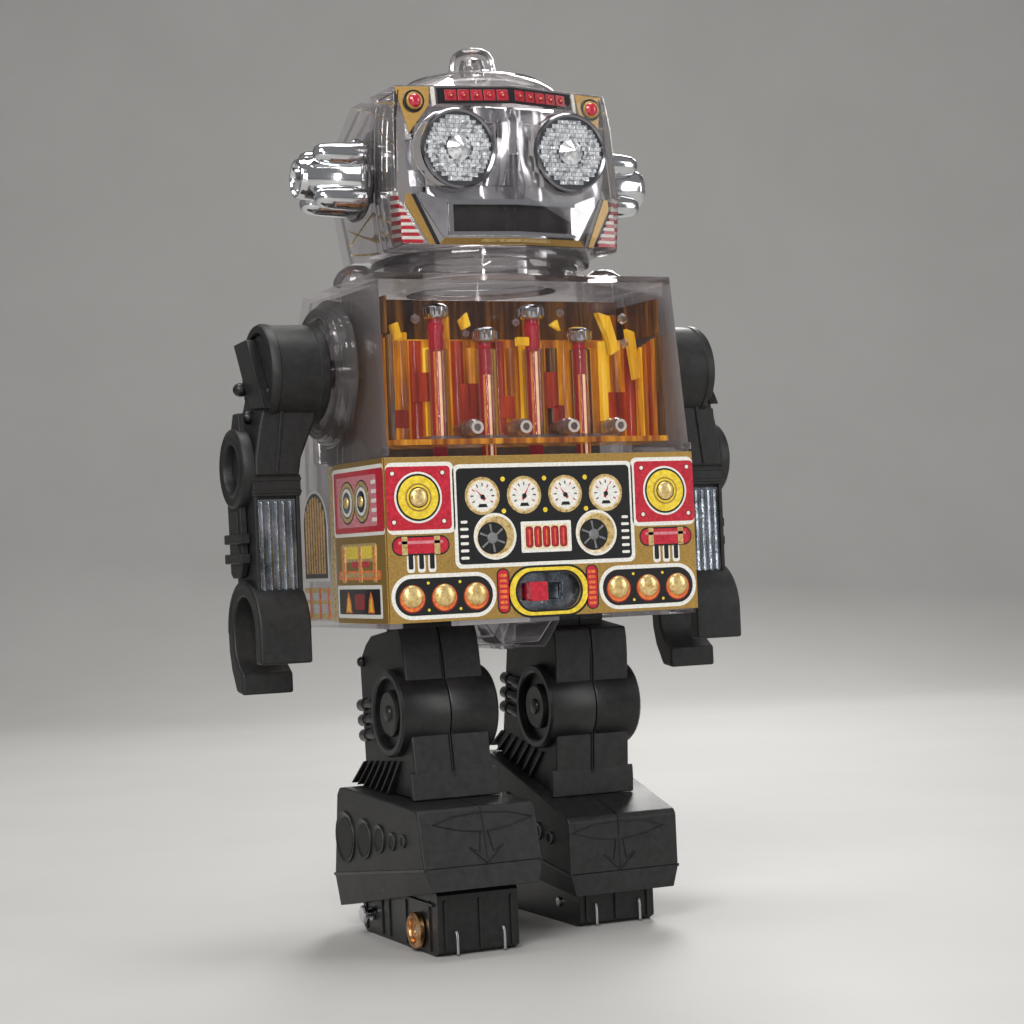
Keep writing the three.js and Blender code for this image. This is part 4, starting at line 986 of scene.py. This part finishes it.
    # Black light bar with red panels.
    skin(trim, [(-22.9, 256.6), (0, 256.6), (22.9, 256.6), (22.9, 261.8), (0, 261.8),
                (-22.9, 261.8)], 0.7, 0.5, 4)
    for side in (-1, 1):
        for k in range(5):
            u = side * (2.9 + 3.95 * k)
            skin(trim, [(u - 1.75, 257.5), (u + 1.75, 257.5), (u + 1.75, 261.0),
                        (u - 1.75, 261.0)], 0.5, 0.4, 5)
            y = head_face_y(u, 259.2)
            add_turned(trim, [(0, y + 0.6), (1.1, y + 0.5), (0.9, y + 0.1), (0, y - 0.05)], "y",
                       (u, 259.2), 16, 7)
            add_turned(trim, [(0, y + 0.3), (0.42, y + 0.1), (0, y - 0.2)], "y", (u, 259.2), 10, 3)
    finish_mesh("face_trim", trim, "torso",
                ["brown_clear", "chrome", "gold", "gold_light", "ink", "red", "paper", "ruby",
                 "mouth_dark"], bevel=0.12)
    ridge = bmesh.new()
    for side in (-1, 1):
        skin(ridge, [(side * 0.2, 226.5), (side * 2.6, 226.5), (side * 4.4, 229.6), (side * 2.0, 240),
                     (side * 1.6, 251), (side * 0.2, 255.6)], 1.7, 1.2)
        skin(ridge, [(side * 5.4, 229), (side * 8.2, 228), (side * 5.2, 236), (side * 4.4, 252),
                     (side * 3.2, 252), (side * 3.8, 238)], 2.4, 0.8)
    finish_mesh("nose_ridge", ridge, "torso", "clear_thick", bevel=0.4)

    for name, side in SIDES.items():
        build_eye(name, side * 19)
        build_ear(name, side)
        build_head_side(name, side)


def build_eye(name, x):
    """Prismatic reflector: a grid of small pyramids round a faceted cone."""
    low, high = node_box(f"{name}_eye_reflector")
    z = (low.z + high.z) / 2
    at = (x, z)
    face = low.y + 4.0
    radius = (high.x - low.x) / 2
    eye = bmesh.new()
    add_turned(eye, [(0, high.y), (9, high.y), (radius - 0.3, face + 1.4), (radius, face + 0.8),
                     (radius, face - 0.4),
                     (radius - 0.5, face - 0.9), (radius - 1.2, face - 0.5), (radius - 1.3, face),
                     (0, face)], "y", at, 64, 1)
    pitch = 1.35
    cells = int(radius / pitch) + 1
    for i in range(-cells, cells + 1):
        for j in range(-cells, cells + 1):
            u, v = (i + 0.5 * (j % 2)) * pitch, j * pitch
            reach = math.hypot(u, v)
            if reach > radius - 1.9 or reach < 4.1:
                continue
            lean = 0.16 * math.sin(i * 2.1 + j * 1.3), 0.16 * math.cos(i * 1.7 - j * 2.3)
            half = pitch * 0.47
            base = [eye.verts.new((x + u + a * half, face - 0.05, z + v + b * half)) for a,
                    b in ((-1, -1), (1, -1), (1, 1), (-1, 1))]
            tip = eye.verts.new((x + u + lean[0], face - 0.62, z + v + lean[1]))
            for k in range(4):
                eye.faces.new([base[k], base[(k + 1) % 4], tip]).material_index = 0
    add_turned(eye, [(4.0, face), (4.0, face - 0.5), (3.5, face - 0.8), (0, low.y + 0.2)], "y", at, 12, 0)
    finish_mesh(f"{name}_eye_fine", eye, "torso", ["prism", "eye_rim"], f"{name}_eye_reflector", angle=12)


def build_ear(name, side):
    at = (0.4, 237)
    root, tip = 32.7, 60.0
    ear = bmesh.new()
    cone = [(0, root), (4, root), (4, 39.4), (9.2, 39.7), (9.6, 40.2), (9.5, 41.4), (8.9, 41.9), (6.5, 57.8),
            (6.5, 58.4), (6.2, 58.8),
            (6.2, 59.5), (5.8, tip), (5.1, tip), (4.7, 59.2), (4.3, 55.4), (0, 55.2)]
    add_turned(ear, [(r, side * a) for r, a in cone], "x", at, 64, 0)
    for degrees in (45, 135, 225, 315):
        turn = math.radians(degrees)
        foot = Vector((at[0] + 9.6 * math.cos(turn), at[1] + 9.6 * math.sin(turn)))
        petal = [(0, 40.0), (3.9, 40.0), (4.1, 41.2), (3.6, 50.2), (3.1, 54.0), (2.2, 55.7),
                 (1.0, 56.3), (0, 56.4)]
        add_turned(ear, [(r, side * a) for r, a in petal], "x", tuple(foot), 32, 0)
    finish_mesh(f"{name}_ear_fine", ear, "torso", "chrome", f"{name}_ear", angle=45)
    collar = bmesh.new()
    for radius, a in ((12.9, 39.9), (12.4, 38.9), (11.9, 40.9)):
        add_turned(collar, [(r, side * b) for r,
                            b in ((radius - 2.4, a), (radius, a), (radius + 0.3, a + 0.4), (radius, a + 0.8),
                                  (radius - 2.4, a + 0.8), (radius - 2.4, a))], "x", at,
                   64, 0)
    finish_mesh(f"{name}_ear_collar", collar, "torso", "clear_thick")


def build_head_side(name, side):
    """Brown tinted window with fine gold lines on each side of the head, and a striped corner."""
    art = bmesh.new()
    rows = ((211.7, 36.6), (229, 38.6), (252, 37.6), (262.4, 36.4))

    def half(z):
        for below, above in zip(rows, rows[1:]):
            if z <= above[0] or above is rows[-1]:
                return below[1] + (above[1] - below[1]) * (z - below[0]) / (above[0] - below[0])

    def patch(outline, inset, look):
        out = [art.verts.new((side * (half(z) - inset), y, z)) for y, z in outline]
        back = [art.verts.new((side * (half(z) - inset - 0.25), y, z)) for y, z in outline]
        count = len(outline)
        faces = [art.faces.new(out), art.faces.new(back[::-1])]
        faces += [art.faces.new([out[i], back[i], back[(i + 1) % count], out[(i + 1) % count]])
                  for i in range(count)]
        for each in faces:
            each.material_index = look

    patch([(-24.4, 252), (-24.4, 229.4), (-8.4, 229.4), (-8.4, 252)], 1.9, 0)
    patch([(-24.4, 261), (-24.4, 252.4), (-8.4, 252.4), (-8.4, 261)], 1.9, 0)
    patch([(-24.4, 228.6), (-24.4, 213.4), (-8.4, 213.4), (-8.4, 228.6)], 1.9, 0)
    patch([(-5, 228.6), (-5, 213.4), (20, 213.4), (21, 228.6)], 1.9, 0)
    patch([(-5, 251.6), (-5, 229.4), (22, 229.4), (20.6, 251.6)], 1.9, 0)
    for y0, z0, y1, z1 in ((-23, 257, -9, 260), (-23, 250, -9, 256), (-23.4, 244, -10, 251),
                           (-20, 230, -20, 242), (-16, 231, -16, 240),
                           (-23, 219, -9, 224), (-23, 214.6, -9, 219.4), (-4, 226, 19, 219),
                           (-4, 217, 19, 224), (-4, 249, 18, 249),
                           (-4, 231, 19, 231), (2, 214, 19, 216)):
        along = Vector((y1 - y0, z1 - z0)).normalized() * 0.28
        across = Vector((-along.y, along.x))
        patch([(y0 + across.x, z0 + across.y), (y1 + across.x, z1 + across.y), (y1 - across.x, z1 - across.y),
               (y0 - across.x, z0 - across.y)],
              1.6, 1)
    for k in range(6):
        z = 214.2 + 2.5 * k
        patch([(-26.6, z), (-26.6, z + 1.25), (-17.5 - k * 0.6, z + 2.0),
               (-17.5 - k * 0.6, z + 0.75)], 1.5, 2)
        patch([(-26.6, z + 1.25), (-26.6, z + 2.4), (-17.5 - k * 0.6, z + 3.1),
               (-17.5 - k * 0.6, z + 2.0)], 1.5, 3)
    finish_mesh(f"{name}_head_side_artwork", art, "torso", ["brown_clear", "gold_light", "red", "paper"])


# ---- arms ----

def sided(side, near, far):
    """Limits along x from the middle of the robot outwards."""
    return (near, far) if side > 0 else (-far, -near)


def build_arm(name, side):
    body = f"{name}_arm_body"
    y, z = -3.4, 175.6

    def round_part(target, profile, at, index=0, segments=72):
        add_turned(target, [(r, side * a) for r, a in profile], "x", at, segments, index)

    bearing = bmesh.new()
    rings = [(4.4, 51.6), (22.6, 51.6), (23, 52.0), (23, 53.4), (22.7, 53.8), (22.2, 53.8), (21.8, 54.2),
             (21.8, 55.0), (21.4, 55.4),
             (21.0, 55.4), (20.6, 55.8), (20.6, 56.6), (20.2, 57), (17.4, 57), (17, 56.6), (17, 54.6),
             (4.4, 54.6), (4.4, 51.6)]
    round_part(bearing, rings, (y, z), 0, 96)
    for radius in (19.6, 18.4):
        round_part(bearing, [(radius - 0.3, 56.9), (radius - 0.3, 57.3), (radius + 0.3, 57.3),
                             (radius + 0.3, 56.9)], (y, z), 0, 96)
    round_part(bearing, [(2.3, 36.2), (4.2, 36.2), (4.5, 36.6), (4.5, 54.6), (2.3, 54.6),
                         (2.3, 36.2)], (y, z), 0, 48)
    for k in range(6):
        a = 37.4 + 2.3 * k
        round_part(bearing, [(4.4, a), (4.85, a + 0.2), (4.85, a + 0.8), (4.4, a + 1.0)], (y, z), 0, 48)
    finish_mesh(f"{name}_shoulder_bearing_fine", bearing, "torso", "clear_thick", f"{name}_shoulder_bearing")

    arm = bmesh.new()
    drum = [(0, 57.4), (14.9, 57.4), (15.5, 58.0), (15.5, 60.4), (15.2, 60.7), (15.2, 73.2), (15.5, 73.5),
            (15.5, 75.2), (14.9, 76.2),
            (12.9, 76.2), (12.5, 75.8), (12.5, 75.1), (12.1, 75.1), (11.4, 75.5), (0, 75.5)]
    round_part(arm, drum, (y, z))
    round_part(arm, [(0, 34.5), (1.9, 34.5), (2, 34.8), (2, 58), (0, 58)], (y, z), 1, 32)
    finish_mesh(f"{name}_shoulder_drum", arm, body, ["black", "steel"], f"{name}_arm", bevel=0)

    def face(points):
        return [(side * a, b) for a, b in points]

    limb = bmesh.new()
    upper = [(60.4, 168), (61, 161), (63.0, 156.6), (66.0, 149.4), (66.8, 144.2), (81, 144.2), (80.8, 150),
             (79.2, 159), (76.2, 171)]
    add_prism(limb, face(upper), "y", -12.2, 8.4)
    finish_mesh(f"{name}_upper_arm", limb, body, "black", bevel=0.9, segments=3)
    rib = bmesh.new()
    add_prism(rib, face([(70.8, 168), (71.8, 168), (74.6, 145), (73.6, 145)]), "y", -12.7, -11)
    finish_mesh(f"{name}_upper_arm_rib", rib, body, "black", bevel=0.25)
    fore = bmesh.new()
    add_box(fore, sided(side, 66.8, 81), (-9.6, 9.2), (110.8, 145))
    finish_mesh(f"{name}_forearm", fore, body, "black", bevel=0.7)
    frame_bars = bmesh.new()
    for x in ((66.6, 67.9), (79.9, 81.2)):
        add_box(frame_bars, sided(side, *x), (-11.0, -8.0), (107.0, 138.6))
    add_box(frame_bars, sided(side, 66.6, 81.2), (-11.2, -8), (106.4, 108.0))
    finish_mesh(f"{name}_forearm_frame", frame_bars, body, "black", bevel=0.35)
    band = bmesh.new()
    add_box(band, sided(side, 66.2, 81.6), (-11.2, 9.8), (138, 144.6))
    add_box(band, sided(side, 66.0, 81.8), (-11.5, 10.0), (142.6, 143.8))
    add_box(band, sided(side, 66.0, 81.8), (-11.5, 10.0), (138.8, 140.0))
    finish_mesh(f"{name}_elbow_band", band, body, "black", bevel=0.35)
    plate = bmesh.new()
    add_box(plate, sided(side, 67.9, 79.9), (-10.4, -8.9), (108.1, 137.2))
    for k in range(5):
        x0 = 68.6 + 2.3 * k
        add_prism(plate, [(side * x0, -10.4), (side * (x0 + 0.9), -10.85), (side * (x0 + 1.8), -10.4)],
                  "z", 109, 136.4)
    finish_mesh(f"{name}_forearm_plate_fine", plate, body, "foil", f"{name}_forearm_plate", bevel=0.25)

    # Hand: a thick C with a long front finger and a short lower jaw.
    hand = bmesh.new()
    outer = [(-17, 87.4), (-17, 97)] + arc(-1, 97, 16, 180, 0, 40)[1:]
    back = [(14.6, 91), (12.8, 85.2), (8.4, 78.4), (2, 77.6), (2, 84), (5.8, 86.4), (8.6, 90.6)]
    inner = arc(-1, 97, 10.8, 0, 180, 36)
    outline = outer + back + inner + [(-11.8, 87.4)]
    add_prism(hand, outline, "x", *sided(side, 66.5, 82.9))
    finish_mesh(f"{name}_hand_fine", hand, body, "black", f"{name}_hand_claw", bevel=0.8, segments=3)
    lip = bmesh.new()
    for x in (66.3, 82.3):
        points = arc(-1, 97, 15.2, 178, -2, 40) + arc(-1, 97, 13.6, -2, 178, 40)
        add_prism(lip, points, "x", *sided(side, x, x + 0.8))
    finish_mesh(f"{name}_hand_rim", lip, body, "black", bevel=0.2)

    # Dress on the outer side.
    dress = bmesh.new()
    at = (0.5, 147)
    round_part(dress, [(7.3, 80.8), (12.3, 80.8), (12.3, 83.8), (11.9, 84.4), (11.2, 84.7), (10.6, 84.4),
                       (8.9, 84.4), (8.4, 84.8), (7.6, 84.6),
                       (7.3, 84.0), (7.3, 80.8)], at, 0, 64)
    round_part(dress, [(0, 80.8), (7.4, 80.8), (7.4, 81.9), (0, 81.9)], at, 0, 48)
    finish_mesh(f"{name}_elbow_ring", dress, body, "black", f"{name}_arm_linkage")
    strap = bmesh.new()
    add_prism(strap, [(-3, 137), (-4, 118), (-1.4, 113.9), (1, 113.5), (6, 113.5), (8, 115), (9, 137)], "x",
              *sided(side, 81.2, 83.4))
    add_prism(strap, [(-1, 134), (-1.6, 120), (6.4, 120), (6.8, 134)], "x", *sided(side, 83.0, 83.9))
    add_box(strap, sided(side, 81.2, 84.6), (-5.8, 9.9), (118, 121))
    add_box(strap, sided(side, 81.2, 84.6), (-5.8, 9.9), (124, 127))
    add_prism(strap, [(-5, 156), (5, 156), (1, 163.8), (-4, 163.8)], "x", *sided(side, 81.0, 83.2))
    finish_mesh(f"{name}_arm_straps", strap, body, "black", bevel=0.35)
    blade = bmesh.new()
    add_prism(blade, [(-1, 186.6), (11.5, 186), (-2.6, 165), (-15.5, 164.4)], "x", *sided(side, 75.4, 78.7))
    finish_mesh(f"{name}_shoulder_blade", blade, body, "black_gloss", bevel=0.3)
    studs = bmesh.new()
    for yy, zz, r in ((4.6, 171.6, 2.2), (-2.0, 162.6, 2.2)):
        add_turned(studs, [(0, side * 74.8), (1.3, side * 74.8), (1.3, side * 77.6), (2.0, side * 78.2),
                           (r, side * 79.4), (1.7, side * 80.7),
                           (0.8, side * 81.4), (0, side * 81.5)], "x", (yy, zz), 28)
    finish_mesh(f"{name}_arm_studs", studs, body, "black_gloss")


# ---- legs, feet and carriages; drawn upright on the robot's left, then mirrored and swung ----

LEG_X = 26.8


def foot_top(y):
    return 38.8 + (y + 39.4) * (49.4 - 38.8) / (26.4 + 39.4)


def build_leg(name, side):
    body = f"{name}_leg"
    stand = leg_matrix(name)

    def part(label, target, look, replaces=(), **options):
        return finish_mesh(f"{name}_{label}", target, body, look, replaces, matrix=stand, **options)

    def slab(target, outline, near, far, index=0):
        """Outline in the side view (y, z), stretched between two distances from the middle."""
        add_prism(target, outline, "x", *sided(side, near, far), index)

    inner, outer = LEG_X - 12.8, LEG_X + 12.8
    profile = [(-22.2, foot_top(-22.2) + 0.2), (-22.1, 50), (-20.4, 86), (-19.6, 91.4), (-18.5, 94.8),
               (6, 94.8), (11, 92.6), (17.2, 88),
               (19.4, 56), (24, 51.6), (24.4, foot_top(24.4) + 0.2)]
    for half, near, far, cad in (("outer", LEG_X + 0.15, outer, "outer"),
                                 ("inner", inner, LEG_X - 0.15, "inner")):
        shell = bmesh.new()
        slab(shell, profile, near, far)
        part(f"leg_{half}_fine", shell, "black", f"{name}_leg_{cad}", bevel=0.7, segments=3)
    for half, s in (("outer", 1), ("inner", -1)):
        x0, x1 = sorted((LEG_X + s * 0.15, LEG_X + s * 8.3))
        neck = bmesh.new()
        outline = [(-11, 93), (-11, 103)] + arc(-4, 103, 7, 180, 0, 20)[1:-1] + [(3, 103), (3, 93)]
        slab(neck, outline, x0, x1)
        part(f"leg_{half}_neck", neck, "black", bevel=0.3)
    lever = bmesh.new()
    slab(lever, [(-7.6, 103), (-7.6, 131), (-5.6, 131), (-5.6, 103)], 18.5, 20.7)
    slab(lever, [(-2.4, 103), (-2.4, 131), (-0.4, 131), (-0.4, 103)], 18.5, 20.7)
    slab(lever, [(-5.7, 103), (-5.7, 118), (-2.3, 118), (-2.3, 103)], 18.5, 20.7)
    slab(lever, [(-5.7, 129), (-5.7, 131), (-2.3, 131), (-2.3, 129)], 18.5, 20.7)
    part("leg_lever", lever, "black", bevel=0.15)

    knee = bmesh.new()
    at = (-10.8, 69.2)
    for s in (-1, 1):
        end = LEG_X + s * 16
        shape = [(0, LEG_X + s * 0.2), (13.3, LEG_X + s * 0.2), (13.5, LEG_X + s * 0.5),
                 (13.5, end - s * 0.8), (12.8, end), (11.4, end), (10.8, end - s * 0.5),
                 (10.8, end - s * 2.4), (7.2, end - s * 2.4), (7.0, end - s * 0.9), (6.4, end - s * 0.4),
                 (2.6, end - s * 0.5), (2.2, end + s * 0.1),
                 (1.2, end + s * 0.3), (0, end + s * 0.35)]
        add_turned(knee, [(r, side * a) for r, a in shape], "x", at, 72)
    part("knee_drum", knee, "black_gloss")
    seam = bmesh.new()
    for x in (LEG_X - 0.55, LEG_X + 0.2):
        slab(seam, [(-22.5, 44), (-22.4, 52), (-20.7, 86), (-19.2, 93), (-18.6, 93), (-20.1, 86), (-21.8, 52),
                    (-21.9, 44)], x, x + 0.35)
    part("leg_seam_lips", seam, "black_gloss", bevel=0.1)

    flare = bmesh.new()
    for s in (-1, 1):
        foot_reach = 15.6 if s > 0 else 14.4
        root, tip = LEG_X + s * 12.7, LEG_X + s * foot_reach
        for k in range(7):
            head = 18.4 - 5.0 * k
            foot = head + 7.4
            top, low = 56.2 - 0.3 * k, foot_top(foot) + 0.5
            points = [(head - 0.75, top), (head + 0.75, top), (foot + 0.75, low), (foot - 0.75, low)]
            near = [flare.verts.new((side * (root - s * 0.8), a, b)) for a, b in points]
            far = [flare.verts.new((side * x, a, b)) for (a, b),
                   x in zip(points, (root + s * 0.9, root + s * 0.9, tip, tip))]
            flare.faces.new(near)
            flare.faces.new(far[::-1])
            for i in range(4):
                flare.faces.new([near[i], far[i], far[(i + 1) % 4], near[(i + 1) % 4]])
    part("ankle_ribs", flare, "black_gloss", bevel=0.25)
    front = bmesh.new()
    slab(front, [(-22.9, foot_top(-22.9) + 0.2), (-22.6, 47), (-22.0, 50.4), (-20.6, 50.4),
                 (-20.6, foot_top(-20.6) + 0.2)], inner - 1.6, outer + 1.6)
    part("ankle_skirt", front, "black", bevel=0.5)

    studs = bmesh.new()
    for s in (-1, 1):
        face = LEG_X + s * 12.8
        for z in (73.9, 69.1, 64.3):
            add_turned(studs, [(0, 2.4), (1.8, 2.4), (2.1, 2.9), (2.1, 8.4), (1.6, 8.8), (1.6, 13.6),
                               (2.0, 14.0), (2.0, 18.0), (1.3, 19.4),
                               (0, 19.9)], "y", (side * face, z), 24)
        add_turned(studs, [(0, side * (face - s * 0.5)), (1.5, side * (face - s * 0.5)),
                           (1.7, side * (face + s * 0.6)), (1.2, side * (face + s * 1.5)),
                           (0, side * (face + s * 1.9))], "x", (14.4, 87.4), 24)
    part("leg_studs", studs, "black_gloss")
    build_foot(name, side, part, slab)
    build_truck(name, side)


def build_foot(name, side, part, slab):
    inner, outer = 9.4, 47.3
    side_line = 21.5
    shell = bmesh.new()
    top = [(-42.8, 14.9), (-39.9, 37.6), (-38.6, 38.9), (19.6, 48.4), (24.6, 48.6), (27.2, 46.6),
           (34.7, side_line), (37, 11.3)]
    upper = [point for point in top if point[1] >= side_line]
    front = -42.8 + (side_line - 14.9) / (37.6 - 14.9) * 2.9
    add_prism(shell, [(front, side_line)] + upper[:-1] + [(34.7, side_line)], "x", *sided(side, inner, outer))
    part("foot_shell_fine", shell, "black", f"{name}_foot_shell", bevel=0.5, segments=3)

    # Skirt under the side line: four walls that lean in.
    skirt = bmesh.new()
    lean = 1.9
    high = [(inner, front), (outer, front), (outer, 34.7), (inner, 34.7)]
    low = [(inner + lean, -42.8, 14.9), (outer - lean, -42.8, 14.9), (outer - lean, 37, 11.3),
           (inner + lean, 37, 11.3)]
    wall = 2.2
    for i in range(4):
        j = (i + 1) % 4
        inward = [(wall, wall), (-wall, wall), (-wall, -wall), (wall, -wall)]
        ring = []
        for k in (i, j):
            x, y = high[k]
            a, b = inward[k]
            ring.append([(x, y, side_line), (x + a, y + b, side_line),
                         (low[k][0] + a, low[k][1] + b, low[k][2]), low[k]])
        verts = [[skirt.verts.new((side * x, y, z)) for x, y, z in loop] for loop in ring]
        skirt.faces.new(verts[0])
        skirt.faces.new(verts[1][::-1])
        for k in range(4):
            skirt.faces.new([verts[0][k], verts[0][(k + 1) % 4], verts[1][(k + 1) % 4], verts[1][k]])
    part("foot_skirt", skirt, "black", bevel=0.15)

    dishes = bmesh.new()
    for y, z, r in ((21.8, 32.9, 8.2), (5.3, 31.9, 6.3), (-7.9, 31.6, 4.4), (-18.5, 30.5, 2.8),
                    (-27.4, 30.3, 2.0)):
        for face, s in ((outer, 1), (inner, -1)):
            dish = [(0, face + s * 0.1), (r - 2.0 if r > 4 else 0.4 * r, face + s * 0.1),
                    (r - 1.2 if r > 4 else 0.6 * r, face + s * 0.25), (r - 0.5, face + s * 0.55),
                    (r - 0.1, face + s * 0.6), (r, face + s * 0.3), (r, face - s * 0.3)]
            add_turned(dishes, [(max(q, 0), side * a) for q, a in dish], "x", (y, z), 48)
    part("foot_rings", dishes, "black_gloss")
    pits = bmesh.new()
    for y, z, r in ((21.8, 32.9, 6.4), (5.3, 31.9, 4.9), (-7.9, 31.6, 3.2), (-18.5, 30.5, 1.7),
                    (-27.4, 30.3, 1.0)):
        for face, s in ((outer, 1), (inner, -1)):
            add_turned(pits, [(0, side * (face + s * 0.3)), (r, side * (face + s * 0.3)),
                              (r, side * (face - s * 0.2))], "x", (y, z), 40)
    part("foot_pits", pits, "pit")

    # Raised lines on the sloping front: two arcs, a pointer and the centre seam.
    lines = bmesh.new()

    def on_front(u, v):
        """v from 0 at the side line to 1 at the top of the front face."""
        z = side_line + (37.6 - side_line) * v
        y = front + (-39.9 - front) * v
        return (side * (LEG_X + u), y, z)

    def stroke(points, width=0.32, rise=0.3):
        for one, two in zip(points, points[1:]):
            a, b = Vector(one), Vector(two)
            along = (b - a).normalized()
            across = Vector((-along.y, along.x)) * width * 0.5
            size = Vector((1, 1 / (37.6 - side_line)))
            ends = [(a.x + across.x, a.y + across.y * size.y), (b.x + across.x, b.y + across.y * size.y),
                    (b.x - across.x, b.y - across.y * size.y), (a.x - across.x, a.y - across.y * size.y)]
            out = [lines.verts.new(Vector(on_front(*p)) + Vector((0, -rise, 0.02))) for p in ends]
            back = [lines.verts.new(Vector(on_front(*p)) + Vector((0, 0.4, 0))) for p in ends]
            lines.faces.new(out)
            lines.faces.new(back[::-1])
            for k in range(4):
                lines.faces.new([out[k], back[k], back[(k + 1) % 4], out[(k + 1) % 4]])

    stroke([(-16, 0.80), (-9, 0.92), (0, 0.96), (9, 0.92), (16, 0.80)])
    stroke([(-16, 0.80), (-8, 0.66), (0, 0.60), (8, 0.66), (16, 0.80)])
    stroke([(-5.5, 0.34), (0, 0.02), (5.5, 0.34)])
    stroke([(-5.5, 0.34), (-2.2, 0.24), (-1.2, 0.62)])
    stroke([(5.5, 0.34), (2.2, 0.24), (1.2, 0.62)])
    part("foot_front_lines", lines, "black_gloss")
    seam = bmesh.new()
    outline = [(-40.1, 37.8), (-38.7, 39.1), (-22.4, foot_top(-22.4) + 0.15), (-22.4, foot_top(-22.4) - 0.8),
               (-38.2, 38.0), (-39.6, 37.0),
               (front + 0.3, side_line), (front - 0.15, side_line)]
    slab(seam, outline, LEG_X - 0.25, LEG_X + 0.25)
    part("foot_seam", seam, "black_gloss", bevel=0.08)
    rim = bmesh.new()
    slab(rim, [(front - 0.3, side_line - 0.5), (front - 0.3, side_line + 0.5), (35.2, side_line + 0.5),
               (35.4, side_line - 0.5)], inner - 0.25, inner + 0.8)
    slab(rim, [(front - 0.3, side_line - 0.5), (front - 0.3, side_line + 0.5), (35.2, side_line + 0.5),
               (35.4, side_line - 0.5)], outer - 0.8, outer + 0.25)
    part("foot_side_line", rim, "black_gloss", bevel=0.2)


def build_truck(name, side):
    body = f"{name}_truck"
    stand = truck_matrix(name)
    refined(f"{name}_carriage", body, "black_gloss", 0.4)
    ribs = bmesh.new()
    inner, outer = 15.4, 41.4
    for x in (17.2, 27.4, 38.6):
        add_box(ribs, sided(side, x, x + 0.9), (-36.3, -35.2), (1.6, 16.4))
    for y in (-30, -11.5, 2.4, 8.6, 22.4):
        add_box(ribs, sided(side, outer - 0.4, outer + 0.5), (y, y + 1.0), (1.0, 16))
    add_box(ribs, sided(side, outer - 0.4, outer + 0.7), (-33, 23.6), (14.6, 15.6))
    finish_mesh(f"{name}_carriage_ribs", ribs, body, "black_gloss", matrix=stand, bevel=0.2)
    feelers = bmesh.new()
    for x in (20.2, 35.4):
        add_prism(feelers, [(-36.9, 0.6), (-36.9, 6.0), (-36.2, 7.4), (-35.5, 7.4), (-35.5, 0.6)], "x",
                  *sided(side, x, x + 0.8))
    finish_mesh(f"{name}_front_clips", feelers, body, "steel", matrix=stand, bevel=0.15)

    for end, y in (("front", -21.0), ("rear", 17.4)):
        wheel_body = f"{name}_{end}_wheel"
        at = (y, 6.4)
        middle = (inner + outer) / 2
        wheel = bmesh.new()
        barrel = [(0, middle - 9.5), (5.7, middle - 9.5), (6.2, middle - 9.1)]
        for k in range(9):
            a = middle - 8.6 + 2.1 * k
            barrel += [(6.3, a), (6.3, a + 1.3), (6.0, a + 1.5), (6.0, a + 1.9)]
        barrel += [(6.2, middle + 9.3), (5.7, middle + 9.5), (0, middle + 9.5)]
        add_turned(wheel, [(r, side * a) for r, a in barrel], "x", at, 48, 0)
        add_turned(wheel, [(0, side * (inner - 0.8)), (1.4, side * (inner - 0.7)),
                           (1.4, side * (outer + 1.0)), (0, side * (outer + 1.1))], "x", at, 24, 1)
        if end == "front":
            ring = [(3.4, outer + 0.35), (5.2, outer + 0.35), (5.4, outer + 0.6), (5.4, outer + 1.9),
                    (5.0, outer + 2.3), (4.2, outer + 2.5), (3.6, outer + 2.1),
                    (3.4, outer + 1.4), (1.3, outer + 1.2), (1.3, outer + 0.35)]
            add_turned(wheel, [(r, side * a) for r, a in ring], "x", at, 56, 2)
        else:
            head = [(0, outer + 0.4), (2.2, outer + 0.4), (2.3, outer + 0.9), (1.3, outer + 1.5),
                    (1.3, outer + 2.3), (2.4, outer + 2.7), (2.75, outer + 3.0),
                    (2.75, outer + 3.6), (2.3, outer + 4.0), (0, outer + 4.2)]
            add_turned(wheel, [(r, side * a) for r, a in head], "x", at, 40, 3)
        finish_mesh(f"{name}_{end}_roller_fine", wheel, wheel_body, ["rubber", "steel", "brass", "chrome"],
                    f"{name}_{end}_roller", matrix=stand)


build_stage()
build_camera()
build_torso()
build_front_print()
build_engine()
build_insides()
build_head()
for side_name, side_sign in SIDES.items():
    build_side_print(side_name, side_sign)
    build_arm(side_name, side_sign)
    build_leg(side_name, side_sign)
